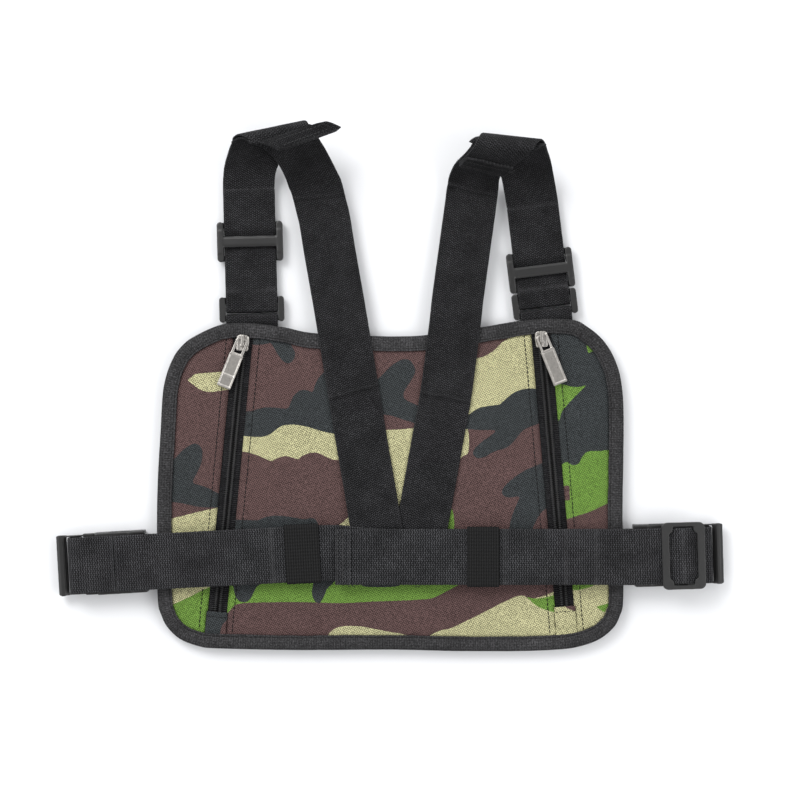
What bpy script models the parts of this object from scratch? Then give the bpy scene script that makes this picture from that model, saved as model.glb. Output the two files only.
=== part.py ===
"""Two-pocket chest harness pad: a thin bound pad with two slanted zip pockets,
a waist belt with side-release buckles and two folded shoulder straps.

Metres, +Z up.  The pad lies on its back; its underside is z = 0.
+X runs along the belt, +Y towards the shoulder straps.
"""
import math

import bmesh
import bpy
from mathutils import Matrix, Vector

for old in list(bpy.data.objects):
    bpy.data.objects.remove(old, do_unlink=True)

MM = 0.001
GAP = 0.3 * MM                 # running gap between neighbouring pieces

# ---------------------------------------------------------------- the pad
PAD_STATIONS = 64              # stations round the pad's edge
# the edge of the pad, counter-clockwise from the top left corner (mm)
PAD_EDGE = [
    (-117, 44.6), (-137.5, 35.4), (-147, 27), (-152, 18.5), (-155.5, 9),
    (-158, -4), (-159.5, -30), (-161.3, -61), (-162, -90), (-162, -122),
    (-161.3, -149), (-159, -158), (-155, -166), (-146, -174.5), (-133, -179.6),
    (-118, -181.2), (-62, -182.3), (0, -182), (49, -183), (91, -183),
    (119, -181.8), (133.5, -179.5), (146.5, -174.6), (156.5, -166.3),
    (160.8, -157.8), (162.8, -149), (163, -120), (162.4, -88), (162.9, -57),
    (163.2, -23), (162.6, -4), (160.7, 9.5), (157.8, 18.5), (153.6, 27),
    (147.3, 35.4), (138.5, 42.6), (129, 47.6), (110, 48.8), (90, 47),
    (63, 42.6), (27, 37.4), (7, 36.4), (-13, 36.7), (-53, 38.6),
    (-73, 42.6), (-98, 45.8),
]
PAD_TOP = 10.3 * MM            # top of the edge binding
BINDING_FLANGE = 10.5 * MM     # how far the binding reaches in over the pad
BINDING_WALL = 1.0 * MM
BACK_Z = (0.0, 1.3 * MM, 2.5 * MM)       # back fabric: middle, step, sewn rim
FOAM_Z = (2.8 * MM, 5.3 * MM)
LINING_Z = (5.6 * MM, 6.2 * MM)
TAPE_Z = (7.5 * MM, 8.0 * MM)
PANEL_Z = (8.3 * MM, 9.0 * MM)
COIL_Z = (8.3 * MM, 9.8 * MM)
PATCH_Z = (10.1 * MM, 10.7 * MM)

# ---------------------------------------------------------------- the zips
# each zip: slider pivot at the top, and the point where the end patch starts
ZIP_TOP = {"left": (-101.7, 34.0), "right": (105.4, 36.6)}
ZIP_END = {"left": (-119.6, -155.0), "right": (121.7, -151.3)}
ZIP_HALF_OPENING = 6.9 * MM
COIL_HALF_GAP = 0.6 * MM       # half of the slot that the slider's post runs in
COIL_WIDTH = 2.3 * MM
TAPE_WIDTH = 10.5 * MM
PULL_SWING = {"left": 22.0, "right": -22.0}    # degrees off straight down
PULL_LENGTH = 36.0 * MM
PULL_WIDTH = 10.2 * MM
PULL_THICK = 1.0 * MM
PULL_AXIS_Z = 12.3 * MM

# ---------------------------------------------------------------- webbing
WEB = 1.3 * MM                 # webbing thickness
SHOULDER_W = 35.7 * MM
BELT_W = 38.6 * MM
BELT_Z = 15.7 * MM             # underside of the lower belt layer
TAIL_Z = 17.3 * MM             # underside of the upper belt layer
BELT_Y = -116.4 * MM
BELT_LEFT_KINK = (-44.0, -113.6)        # where the left wing starts (mm)
BELT_LEFT_TILT = 2.97                   # degrees: the left wing droops
BELT_SPLIT_RIGHT = 122.0 * MM
KEEPER_T = 1.0 * MM

# shoulder straps: pivot of the ring at the pad's edge, lean of the outer leg
RING_PIVOT = {"left": (-95.8, 48.2), "right": (109.1, 52.0)}
LEG_LEAN = {"left": 1.5, "right": 7.0}
LEG_SPLIT = {"left": 91.0 * MM, "right": 76.0 * MM}
ADJUSTER_AT = {"left": 54.3 * MM, "right": 30.6 * MM}
MAIN_Z = 5.95 * MM             # middle of the upper layer on an outer leg
UNDER_Z = 1.65 * MM            # middle of the lower layer

# side-release buckles: the female half's inner end and the way it points
BUCKLE_AT = {"left": (-168.6, -119.9), "right": (169.9, -116.4)}
BUCKLE_TURN = {"left": 180.0 + 3.3, "right": 1.6}
FEMALE_L = 35.0 * MM
BUCKLE_HALF = 21.5 * MM
BUCKLE_Z = (1.2 * MM, 12.4 * MM)

SIDES = ("left", "right")


# ---------------------------------------------------------------- helpers
def material(name, rgb, rough, metal=0.0):
    mat = bpy.data.materials.new(name)
    mat.use_nodes = True
    shader = mat.node_tree.nodes["Principled BSDF"]
    shader.inputs["Base Color"].default_value = (*rgb, 1.0)
    shader.inputs["Roughness"].default_value = rough
    shader.inputs["Metallic"].default_value = metal
    mat.diffuse_color = (*rgb, 1.0)
    return mat


CAMO = material("camo_oxford", (0.13, 0.085, 0.08), 0.85)
LINING = material("lining_cloth", (0.03, 0.03, 0.033), 0.9)
FOAM = material("foam", (0.25, 0.25, 0.26), 0.95)
BINDING = material("binding_tape", (0.05, 0.048, 0.052), 0.85)
WEBBING = material("black_webbing", (0.03, 0.03, 0.033), 0.8)
ELASTIC = material("elastic", (0.018, 0.018, 0.02), 0.7)
ZIPTAPE = material("zip_tape", (0.016, 0.016, 0.018), 0.85)
COIL = material("zip_coil", (0.025, 0.025, 0.028), 0.45)
NICKEL = material("nickel", (0.62, 0.59, 0.56), 0.3, 1.0)
PLASTIC = material("black_acetal", (0.045, 0.045, 0.05), 0.42)


def settle(name, bm, mat, place=None, smooth=None):
    """Turn a bmesh into a named object; place is its world matrix."""
    bm.normal_update()
    bmesh.ops.recalc_face_normals(bm, faces=bm.faces)
    mesh = bpy.data.meshes.new(name)
    bm.to_mesh(mesh)
    bm.free()
    mesh.materials.append(mat)
    obj = bpy.data.objects.new(name, mesh)
    bpy.context.collection.objects.link(obj)
    if place is not None:
        obj.matrix_world = place
    if smooth:
        mesh.shade_smooth()
        mesh.set_sharp_from_angle(angle=math.radians(smooth))
    return obj


def frame_at(x, y, turn_deg, z=0.0):
    return Matrix.Translation((x, y, z)) @ Matrix.Rotation(math.radians(turn_deg), 4, "Z")


def block_mesh(lo, hi):
    bm = bmesh.new()
    bmesh.ops.create_cube(bm, size=1.0)
    size = Vector(hi) - Vector(lo)
    bmesh.ops.scale(bm, vec=size, verts=bm.verts)
    bmesh.ops.translate(bm, vec=(Vector(hi) + Vector(lo)) / 2, verts=bm.verts)
    return bm


def prism_mesh(outline, z0, z1):
    """Extrude a flat outline (x, y) from z0 up to z1."""
    bm = bmesh.new()
    ring = [bm.verts.new((x, y, z0)) for x, y in outline]
    face = bm.faces.new(ring)
    grown = bmesh.ops.extrude_face_region(bm, geom=[face])
    top = [g for g in grown["geom"] if isinstance(g, bmesh.types.BMVert)]
    bmesh.ops.translate(bm, vec=(0, 0, z1 - z0), verts=top)
    bmesh.ops.triangulate(bm, faces=[f for f in bm.faces if len(f.verts) > 4])
    return bm


def carve(obj, add=(), cut=()):
    """Join and cut with guide solids given in the object's own frame."""
    guides = []
    for kind, meshes in (("UNION", add), ("DIFFERENCE", cut)):
        for bm in meshes:
            guide = settle("guide", bm, obj.data.materials[0], obj.matrix_world.copy())
            guide.hide_render = True
            guide.display_type = "WIRE"
            mod = obj.modifiers.new(kind.lower(), "BOOLEAN")
            mod.operation = kind
            mod.solver = "EXACT"
            mod.object = guide
            guides.append(guide)
    bpy.context.view_layer.update()
    graph = bpy.context.evaluated_depsgraph_get()
    whole = bpy.data.meshes.new_from_object(obj.evaluated_get(graph))
    obj.modifiers.clear()
    obj.data = whole
    whole.name = obj.name
    for guide in guides:
        bpy.data.objects.remove(guide, do_unlink=True)
    return obj


def mm(points):
    return [Vector(p) * MM for p in points]


def catmull(points, closed=False, per=6):
    """A smooth curve through the given points."""
    n = len(points)
    out = []
    for i in range(n if closed else n - 1):
        if closed:
            p0, p1, p2, p3 = (points[(i + k - 1) % n] for k in range(4))
        else:
            p0, p1 = points[max(i - 1, 0)], points[i]
            p2, p3 = points[i + 1], points[min(i + 2, n - 1)]
        for k in range(per):
            t = k / per
            out.append(0.5 * ((2 * p1) + (p2 - p0) * t + (2 * p0 - 5 * p1 + 4 * p2 - p3) * t * t
                              + (3 * p1 - p0 - 3 * p2 + p3) * t ** 3))
    if not closed:
        out.append(points[-1].copy())
    return out


def even(points, count, closed=False):
    """Points at equal steps along a polyline."""
    pts = list(points) + ([points[0]] if closed else [])
    run = [0.0]
    for a, b in zip(pts, pts[1:]):
        run.append(run[-1] + (b - a).length)
    out, j = [], 0
    steps = count if closed else count - 1
    for i in range(count):
        want = run[-1] * i / steps
        while j < len(run) - 2 and run[j + 1] < want:
            j += 1
        span = run[j + 1] - run[j]
        out.append(pts[j].lerp(pts[j + 1], (want - run[j]) / span if span else 0.0))
    return out


EDGE = even(catmull([Vector((x, y, 0)) * MM for x, y in PAD_EDGE], True), PAD_STATIONS, True)


def edge_inset(depth):
    """The pad's edge moved inwards by depth."""
    n = len(EDGE)
    out = []
    for i, p in enumerate(EDGE):
        t = (EDGE[(i + 1) % n] - EDGE[i - 1]).normalized()
        out.append(p + Vector((-t.y, t.x, 0)) * depth)
    return out


def ring_stack(name, levels, mat, capped=True):
    """Bridge closed loops of equal count; levels are (inset, z)."""
    bm = bmesh.new()
    rows = []
    for inset, z in levels:
        rows.append([bm.verts.new((p.x, p.y, z)) for p in edge_inset(inset)])
    pairs = list(zip(rows, rows[1:])) + ([] if capped else [(rows[-1], rows[0])])
    for a, b in pairs:
        for i in range(len(a)):
            j = (i + 1) % len(a)
            bm.faces.new((a[i], a[j], b[j], b[i]))
    if capped:
        bm.faces.new(list(reversed(rows[0])))
        bm.faces.new(rows[-1])
        bmesh.ops.triangulate(bm, faces=[f for f in bm.faces if len(f.verts) > 4])
    return settle(name, bm, mat)


def ribbon(name, spine, widths, mat, thick=WEB, place=None, half=None):
    """Webbing: a flat strip along a spine, with its width direction at each point.

    half is the half width; the strip is thick along the normal.
    """
    bm = bmesh.new()
    rows = []
    n = len(spine)
    for i in range(n):
        tangent = (spine[min(i + 1, n - 1)] - spine[max(i - 1, 0)]).normalized()
        w = widths[i] if isinstance(widths, list) else widths
        w = w.normalized()
        up = tangent.cross(w).normalized()
        # a fold line may lie across the strip at a slant; it is then longer than the strip is wide
        slant = 1.0 if i in (0, n - 1) else 1.0 / math.sqrt(max(1.0 - w.dot(tangent) ** 2, 0.6))
        rows.append([bm.verts.new(spine[i] + w * (a * half * slant) + up * (b * thick / 2))
                     for a, b in ((-1, -1), (1, -1), (1, 1), (-1, 1))])
    for a, b in zip(rows, rows[1:]):
        for k in range(4):
            m = (k + 1) % 4
            bm.faces.new((a[k], a[m], b[m], b[k]))
    bm.faces.new(list(reversed(rows[0])))
    bm.faces.new(rows[-1])
    return settle(name, bm, mat, place, smooth=35)


def side_path(points, place, name, mat, half, thick=WEB, per=1):
    """Webbing seen from the side: points are (run, height) in a local frame whose X is the run."""
    spine = [Vector((u, 0, z)) for u, z in points]
    return ribbon(name, spine, Vector((0, 1, 0)), mat, thick, place, half)


def arc(cu, cz, r, a0, a1, steps=8):
    """Points of an arc in the (run, height) plane, angles in degrees."""
    return [(cu + r * math.cos(math.radians(a0 + (a1 - a0) * i / steps)),
             cz + r * math.sin(math.radians(a0 + (a1 - a0) * i / steps))) for i in range(steps + 1)]


def ease(u0, z0, u1, z1, steps=4):
    """A soft step between two heights."""
    out = []
    for i in range(steps + 1):
        t = i / steps
        s = t * t * (3 - 2 * t)
        out.append((u0 + (u1 - u0) * t, z0 + (z1 - z0) * s))
    return out


# ================================================================ pad layers
ring_stack("back_panel", [(11.6 * MM, BACK_Z[0]), (11.6 * MM, BACK_Z[1]),
                          (2.2 * MM, BACK_Z[1]), (2.2 * MM, BACK_Z[2])], LINING)
ring_stack("foam_pad", [(13.0 * MM, FOAM_Z[0]), (13.0 * MM, FOAM_Z[1])], FOAM)
ring_stack("pocket_lining", [(13.0 * MM, LINING_Z[0]), (13.0 * MM, LINING_Z[1])], LINING)

f, w, t = BINDING_FLANGE, BINDING_WALL, PAD_TOP
binding = ring_stack("edge_binding", [
    (f, 0), (1.6 * MM, 0), (0, 1.6 * MM), (0, t - 1.6 * MM), (1.6 * MM, t), (f, t),
    (f, t - w), (1.9 * MM, t - w), (w, t - 1.9 * MM), (w, 1.9 * MM), (1.9 * MM, w), (f, w),
], BINDING, capped=False)


def zip_frame(side):
    """A frame at the slider's pivot whose X runs down the zip."""
    top, end = (Vector(p).to_3d() * MM for p in (ZIP_TOP[side], ZIP_END[side]))
    way = (end - top).normalized()
    return top, way, math.degrees(math.atan2(way.y, way.x)), (end - top).length


RIM = 1.6 * MM                 # the front panels' cut edge, inside the binding
FAR = 0.4


def panel(name, after=None, before=None):
    """A front panel: the rim's shape, kept on one side of each zip opening."""
    piece = settle(name, prism_mesh([(p.x, p.y) for p in edge_inset(RIM)], *PANEL_Z), CAMO)
    cutters = []
    for side, lo, hi in ((after, -FAR, ZIP_HALF_OPENING), (before, -ZIP_HALF_OPENING, FAR)):
        if side:
            top, way, turn, length = zip_frame(side)
            block = block_mesh((-FAR, lo, 0), (FAR, hi, 0.02))
            block.transform(frame_at(top.x, top.y, turn))
            cutters.append(block)
    return carve(piece, cut=cutters)


panel("front_panel_left", before="left")
panel("front_panel_centre", after="left", before="right")
panel("front_panel_right", after="right")

# ================================================================ zips
for side in SIDES:
    top, way, turn, length = zip_frame(side)
    place = frame_at(top.x, top.y, turn)
    above = 7.2 * MM if side == "left" else 6.2 * MM      # tape above the pivot, under the binding
    below = length + 21.0 * MM
    outer = -1 if side == "left" else 1                   # local +Y is towards +X
    for half, sign in (("inner", -outer), ("outer", outer)):
        lo, hi = sorted((sign * COIL_HALF_GAP, sign * TAPE_WIDTH))
        settle(f"zip_tape_{side}_{half}",
               block_mesh((-above, lo, TAPE_Z[0]), (below, hi, TAPE_Z[1])), ZIPTAPE, place)
        lo, hi = sorted((sign * COIL_HALF_GAP, sign * (COIL_HALF_GAP + COIL_WIDTH)))
        settle(f"zip_coil_{side}_{half}",
               block_mesh((-0.6 * MM, lo, COIL_Z[0]), (below - 9.5 * MM, hi, COIL_Z[1])), COIL, place)
    settle(f"zip_end_patch_{side}",
           block_mesh((length, -7.4 * MM, PATCH_Z[0]), (length + 15.0 * MM, 7.4 * MM, PATCH_Z[1])),
           CAMO, place)

    # slider: upper plate with a rounded nose, two side flanges, a thin post, a lower plate and a crown
    nose, tail, half_w = -3.4 * MM, 8.0 * MM, 4.6 * MM
    plate = [(tail, -half_w * 0.8), (tail, half_w * 0.8), (2 * MM, half_w), (nose + 1.6 * MM, half_w * 0.92),
             (nose + 0.3 * MM, half_w * 0.55), (nose, 0), (nose + 0.3 * MM, -half_w * 0.55),
             (nose + 1.6 * MM, -half_w * 0.92), (2 * MM, -half_w)]
    z_plate = (10.6 * MM, 11.3 * MM)
    slider = settle(f"zip_slider_{side}", prism_mesh(plate, *z_plate), NICKEL, place)
    overlap = 0.1 * MM
    carve(slider, add=[
        block_mesh((0.2 * MM, 3.25 * MM, 8.35 * MM), (7.4 * MM, 4.1 * MM, z_plate[0] + overlap)),
        block_mesh((0.2 * MM, -4.1 * MM, 8.35 * MM), (7.4 * MM, -3.25 * MM, z_plate[0] + overlap)),
        block_mesh((1.0 * MM, -0.3 * MM, 6.6 * MM), (3.4 * MM, 0.3 * MM, z_plate[0] + overlap)),
        block_mesh((0.2 * MM, -4.0 * MM, 6.5 * MM), (7.4 * MM, 4.0 * MM, 7.2 * MM)),
        block_mesh((-3.1 * MM, -1.0 * MM, z_plate[1] - overlap), (-2.1 * MM, 1.0 * MM, 13.85 * MM)),
        block_mesh((4.0 * MM, -1.0 * MM, z_plate[1] - overlap), (5.0 * MM, 1.0 * MM, 13.85 * MM)),
        block_mesh((-2.6 * MM, -1.0 * MM, 13.2 * MM), (4.5 * MM, 1.0 * MM, 13.9 * MM)),
    ])

    # pull: a plate with a slot; its end bar runs through the slider's crown
    turn_pull = -90.0 + (-PULL_SWING["left"] if side == "left" else PULL_SWING["left"])
    hold = frame_at(top.x, top.y, turn_pull, PULL_AXIS_Z)
    hw = PULL_WIDTH / 2
    shape = [(-0.65 * MM, -3.6 * MM), (2.0 * MM, -4.3 * MM), (12.0 * MM, -4.5 * MM), (PULL_LENGTH - 0.6 * MM, -hw),
             (PULL_LENGTH, -hw + 0.8 * MM), (PULL_LENGTH, hw - 0.8 * MM), (PULL_LENGTH - 0.6 * MM, hw),
             (12.0 * MM, 4.5 * MM), (2.0 * MM, 4.3 * MM), (-0.65 * MM, 3.6 * MM)]
    pull = settle(f"zip_pull_{side}", prism_mesh(shape, -PULL_THICK / 2, PULL_THICK / 2), NICKEL, hold)
    carve(pull, cut=[block_mesh((0.65 * MM, -2.6 * MM, -2 * MM), (10.2 * MM, 2.6 * MM, 2 * MM))])

# ================================================================ webbing tabs
slots = []
TAB_T = 1.1 * MM


def sewn_tab(name, place, depth, half, bar_u, bar_z, rise, reach):
    """A tab folded round a bar: both ends are sewn in between the pad's layers.

    Local X points out of the pad; u = 0 is the pad's edge.
    """
    low, high = 3.35 * MM, 4.75 * MM
    loop_r = (rise - low) / 2
    pts = [(-depth, low), (0.0, low), (bar_u, low)]
    pts += arc(bar_u + reach, low + loop_r, loop_r, -90, 90, 8)
    pts += ease(bar_u - 0.6 * MM, rise, -3.6 * MM, high, 5)
    pts += [(-depth, high)]
    return side_path(pts, place, name, WEBBING, half, TAB_T)


for side in SIDES:
    x, y = (v * MM for v in RING_PIVOT[side])
    lean = LEG_LEAN[side]
    edge_y = 45.7 * MM if side == "left" else 47.9 * MM
    out = (y - edge_y)
    place = frame_at(x, y, 90.0 + lean) @ Matrix.Translation((-out, 0, 0))
    sewn_tab(f"shoulder_tab_{side}", place, 10.5 * MM, 18.0 * MM, out, 0, 7.45 * MM, 1.3 * MM)
    slots.append((place, 18.5 * MM))

for side in SIDES:
    bx, by = (v * MM for v in BUCKLE_AT[side])
    place = frame_at(bx, by, BUCKLE_TURN[side])
    # the pad's side is a few millimetres inside the buckle's end
    edge_x = -162.0 * MM if side == "left" else 163.0 * MM
    out = abs(bx - edge_x)
    tab = place @ Matrix.Translation((-out, 0, 0))
    sewn_tab(f"side_tab_{side}", tab, 10.5 * MM, 18.0 * MM, out + 2.0 * MM, 0, 8.65 * MM, 1.4 * MM)
    slots.append((tab, 18.5 * MM))

for place, half in slots:
    cutter = block_mesh((-9.0 * MM, -half, 2.45 * MM), (4.0 * MM, half, 8.3 * MM))
    cutter.transform(place)
    carve(binding, cut=[cutter])

# ================================================================ shoulder rings and adjusters
RING_HALF = 22.6 * MM
RAIL_IN = 18.3 * MM
for side in SIDES:
    x, y = (v * MM for v in RING_PIVOT[side])
    turn = 90.0 + LEG_LEAN[side]                 # local X runs up the outer leg
    hinge = frame_at(x, y, turn, 5.4 * MM)
    ring = settle(f"strap_ring_{side}",
                  block_mesh((-1.9 * MM, RAIL_IN, -2.8 * MM), (15.9 * MM, RING_HALF, 1.4 * MM)), PLASTIC, hinge)
    carve(ring, add=[
        block_mesh((-1.9 * MM, -RING_HALF, -2.8 * MM), (15.9 * MM, -RAIL_IN, 1.4 * MM)),
        block_mesh((-1.1 * MM, -RAIL_IN - MM, -1.0 * MM), (1.1 * MM, RAIL_IN + MM, 1.0 * MM)),
        block_mesh((11.6 * MM, -RAIL_IN - MM, -2.8 * MM), (15.6 * MM, RAIL_IN + MM, -0.4 * MM)),
    ])
    at = hinge @ Matrix.Translation((ADJUSTER_AT[side], 0, 0))
    adj = settle(f"shoulder_adjuster_{side}",
                 block_mesh((-14 * MM, RAIL_IN, -2.8 * MM), (14 * MM, 22.9 * MM, 1.8 * MM)), PLASTIC, at)
    carve(adj, add=[
        block_mesh((-14 * MM, -22.9 * MM, -2.8 * MM), (14 * MM, -RAIL_IN, 1.8 * MM)),
        block_mesh((-13.6 * MM, -RAIL_IN - MM, -2.8 * MM), (-10 * MM, RAIL_IN + MM, -0.4 * MM)),
        block_mesh((10 * MM, -RAIL_IN - MM, -2.8 * MM), (13.6 * MM, RAIL_IN + MM, -0.4 * MM)),
        block_mesh((-3.8 * MM, -RAIL_IN - MM, -0.8 * MM), (3.8 * MM, RAIL_IN + MM, 1.8 * MM)),
    ])

    # the strap's loop: down through the adjuster, round the ring's upper bar and back beneath
    leg = frame_at(x, y, turn)
    split, a = LEG_SPLIT[side], ADJUSTER_AT[side]
    low_dip = 3.65 * MM
    pts = [(split, MAIN_Z)] + ease(a + 9.6 * MM, MAIN_Z, a + 4.2 * MM, low_dip)
    pts += ease(a - 4.2 * MM, low_dip, a - 9.6 * MM, MAIN_Z)
    if side == "left":
        pts += [(22.0 * MM, MAIN_Z)]
    pts += arc(7.4 * MM, (MAIN_Z + UNDER_Z) / 2, (MAIN_Z - UNDER_Z) / 2, 90, 270, 10)
    pts += [(22.0 * MM, UNDER_Z), (a, UNDER_Z), (split, UNDER_Z)]
    side_path(pts, leg, f"shoulder_loop_{side}", WEBBING, SHOULDER_W / 2)

# ================================================================ shoulder straps above the split
# each station: middle of the inner layer (mm) and its width direction
LEFT_ARCH = [
    ((-97.0, 150.5, 9.5), (1.0, 0.02, 0.0)),
    ((-93.5, 159.8, 16.5), (0.995, 0.07, 0.0)),
    ((-89.6, 167.0, 23.5), (0.99, 0.12, 0.0)),
    ((-85.2, 172.6, 30.0), (0.985, 0.17, 0.0)),
    ((-79.6, 175.2, 35.2), (0.98, 0.20, 0.04)),
    ((-73.4, 173.0, 37.6), (0.97, 0.22, 0.12)),
    ((-67.2, 168.0, 34.8), (0.94, 0.25, 0.22)),
    ((-61.4, 161.2, 27.5), (0.91, 0.26, 0.30)),
    ((-56.4, 152.5, 17.8), (0.92, 0.25, 0.28)),
    ((-52.8, 144.5, 12.0), (0.96, 0.20, 0.12)),
    ((-50.2, 138.0, 10.0), (0.98, 0.18, 0.03)),
    ((-47.2, 126.0, 9.5), (0.985, 0.173, 0.0)),
    ((-45.2, 118.0, 9.5), (0.985, 0.173, 0.0)),
    ((-41.8, 97.0, 9.6), (0.985, 0.172, 0.0)),
    ((-35.6, 62.0, 10.8), (0.987, 0.160, 0.0)),
    ((-32.6, 44.0, 11.25), (0.988, 0.155, 0.0)),
    ((-25.6, 1.8, 11.25), (0.988, 0.155, 0.0)),
    ((-19.4, -36.0, 11.25), (0.988, 0.155, 0.0)),
    ((-14.2, -66.0, 12.4), (0.988, 0.155, 0.0)),
    ((-11.2, -84.0, 13.3), (0.988, 0.155, 0.0)),
    ((-8.6, -100.0, 14.7), (0.988, 0.155, 0.0)),
    ((-6.3, -117.3, 14.75), (0.988, 0.155, 0.0)),
    ((-4.5, -130.5, 14.75), (0.988, 0.155, 0.0)),
]
RIGHT_ARCH = [
    ((96.6, 143.5, 11.0), (0.992, 0.10, 0.0)),
    ((93.8, 152.5, 19.5), (0.995, 0.05, 0.0)),
    ((90.6, 159.4, 28.0), (0.998, 0.0, 0.0)),
    ((87.4, 164.6, 36.5), (0.995, -0.05, 0.0)),
    ((83.0, 167.4, 44.0), (0.99, -0.10, -0.04)),
    ((77.2, 163.8, 48.8), (0.975, -0.13, -0.16)),
    ((70.8, 158.6, 43.0), (0.93, -0.15, -0.32)),
    ((65.4, 154.6, 33.0), (0.89, -0.155, -0.42)),
    ((61.4, 151.2, 22.0), (0.88, -0.157, -0.42)),
    ((59.2, 146.6, 14.0), (0.92, -0.14, -0.30)),
    ((58.0, 139.6, 10.2), (0.985, -0.13, -0.06)),
    ((56.6, 129.0, 9.5), (0.991, -0.130, 0.0)),
    ((52.2, 97.0, 9.6), (0.992, -0.128, 0.0)),
    ((47.4, 62.0, 10.8), (0.992, -0.128, 0.0)),
    ((45.4, 44.0, 11.25), (0.991, -0.132, 0.0)),
    ((39.3, -3.2, 11.25), (0.989, -0.150, 0.0)),
    ((33.4, -36.0, 11.25), (0.984, -0.175, 0.0)),
    ((25.6, -79.5, 11.25), (0.984, -0.175, 0.0)),
    ((22.0, -99.0, 12.9), (0.984, -0.175, 0.0)),
    ((18.9, -117.3, 13.15), (0.984, -0.175, 0.0)),
    ((16.5, -130.5, 13.15), (0.984, -0.175, 0.0)),
]


def strap_curve(side):
    """Even stations along the inner layer, from the split to its sewn end."""
    x, y = (v * MM for v in RING_PIVOT[side])
    leg = frame_at(x, y, 90.0 + LEG_LEAN[side])
    along = leg.to_3x3() @ Vector((1, 0, 0))
    across = leg.to_3x3() @ Vector((0, -1, 0))
    start = leg @ Vector((LEG_SPLIT[side] + GAP, 0, MAIN_Z))
    keys = [(start, across)]
    keys += [(Vector(p) * MM, Vector(q)) for p, q in (LEFT_ARCH if side == "left" else RIGHT_ARCH)]
    before = (start - along * 0.02, across)
    pts = catmull([k[0] for k in [before] + keys], False, 8)[8:]
    ways = catmull([k[1] for k in [before] + keys], False, 8)[8:]
    return pts, ways


def resample(points, ways, step):
    run = [0.0]
    for a, b in zip(points, points[1:]):
        run.append(run[-1] + (b - a).length)
    count = max(int(run[-1] / step), 2) + 1
    outp, outw, j = [], [], 0
    for i in range(count):
        want = run[-1] * i / (count - 1)
        while j < len(run) - 2 and run[j + 1] < want:
            j += 1
        f_ = (want - run[j]) / (run[j + 1] - run[j])
        outp.append(points[j].lerp(points[j + 1], f_))
        outw.append(ways[j].lerp(ways[j + 1], f_).normalized())
    return outp, outw, run[-1]


# the free tail lies on the outside of the arch; how far along the strap it ends
TAIL_END = {"left": 62.0 * MM, "right": 92.0 * MM}
for side in SIDES:
    pts, ways = strap_curve(side)
    spine, width, total = resample(pts, ways, 3.6 * MM)
    ribbon(f"shoulder_main_{side}", spine, width, WEBBING, WEB, None, SHOULDER_W / 2)
    # the tail keeps outside the arch: it starts one bar's height below and closes up to the inner layer
    out_pts, out_ways = [], []
    run = 0.0
    n = len(spine)
    for i in range(n):
        if i:
            run += (spine[i] - spine[i - 1]).length
        if run > TAIL_END[side]:
            break
        tangent = (spine[min(i + 1, n - 1)] - spine[max(i - 1, 0)]).normalized()
        up = tangent.cross(width[i]).normalized()
        before_, after_ = spine[i] - spine[max(i - 1, 0)], spine[min(i + 1, n - 1)] - spine[i]
        bend = before_.angle(after_) if 0 < i < n - 1 else 0.0
        near = (2.2 if side == "left" else 2.7) * MM / math.cos(bend / 2)
        far = MAIN_Z - UNDER_Z
        t = min(run / (30 * MM), 1.0)
        s = t * t * (3 - 2 * t)
        gap = far + (near - far) * s
        out_pts.append(spine[i] + up * gap)
        out_ways.append(width[i])
    if side == "left":
        # the left tail leaves the arch and stands off to the right as a free leaf
        out_pts += mm([(-66.5, 172.5, 40.5), (-56.5, 169.5, 42.5), (-46.0, 166.5, 42.5)])
        out_ways += [Vector((0.93, 0.27, 0.20)), Vector((0.82, 0.31, 0.45)), Vector((0.70, 0.33, 0.62))]
    ribbon(f"shoulder_tail_{side}", out_pts, out_ways, WEBBING, WEB, None, SHOULDER_W / 2)

# ================================================================ belt
tilt = math.radians(BELT_LEFT_TILT)
kink = Vector((*BELT_LEFT_KINK, 0)) * MM
wing = Vector((-math.cos(tilt), -math.sin(tilt), 0))          # down the left wing
wing_y = Vector((math.sin(tilt), -math.cos(tilt), 0))
LEFT_SPLIT = 146.0 * MM                                        # along the wing from the kink
zb = BELT_Z + WEB / 2
zt = TAIL_Z + WEB / 2


def on_wing(s, z=zb):
    return Vector((kink.x + wing.x * s, kink.y + wing.y * s, z))


def level(x, y, z=zb):
    return Vector((x, y, z))


spine = [on_wing(LEFT_SPLIT), on_wing(100 * MM), on_wing(50 * MM), on_wing(5 * MM)]
spine += [level(-36 * MM, -113.7 * MM), level(-26 * MM, -114.7 * MM), level(-14 * MM, -115.7 * MM),
          level(0, BELT_Y), level(60 * MM, BELT_Y), level(BELT_SPLIT_RIGHT, BELT_Y)]
widths = [wing_y * -1] * 4 + [Vector((0, 1, 0))] * 6
ribbon("belt_main", spine, widths, WEBBING, WEB, None, BELT_W / 2)
TAIL_HEM_X = -37.0 * MM
ribbon("belt_tail", [level(TAIL_HEM_X, BELT_Y, zt), level(0, BELT_Y, zt), level(60 * MM, BELT_Y, zt),
                     level(BELT_SPLIT_RIGHT, BELT_Y, zt)], Vector((0, 1, 0)), WEBBING, WEB, None, BELT_W / 2)


def buckle_frame(side):
    x, y = (v * MM for v in BUCKLE_AT[side])
    return frame_at(x, y, BUCKLE_TURN[side])




# both ends dive through the male half's slot and under its inner bar; heights are in the buckle's frame
def dive(top_z, back_z):
    """From the top layer at u = 46 mm, round the inner bar, to the returning layer at u = 41 mm."""
    r = 5.6 * MM
    pts = arc(53.3 * MM - r, top_z - r, r, 90, 0, 6)
    pts += arc(50.8 * MM, 5.6 * MM, 2.5 * MM, 0, -90, 4)
    pts += arc(47.6 * MM, 5.6 * MM, 2.5 * MM, -90, -180, 4)
    r = 3.6 * MM
    pts += arc(45.1 * MM - r, back_z - r, r, 0, 90, 5)
    return pts


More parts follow.
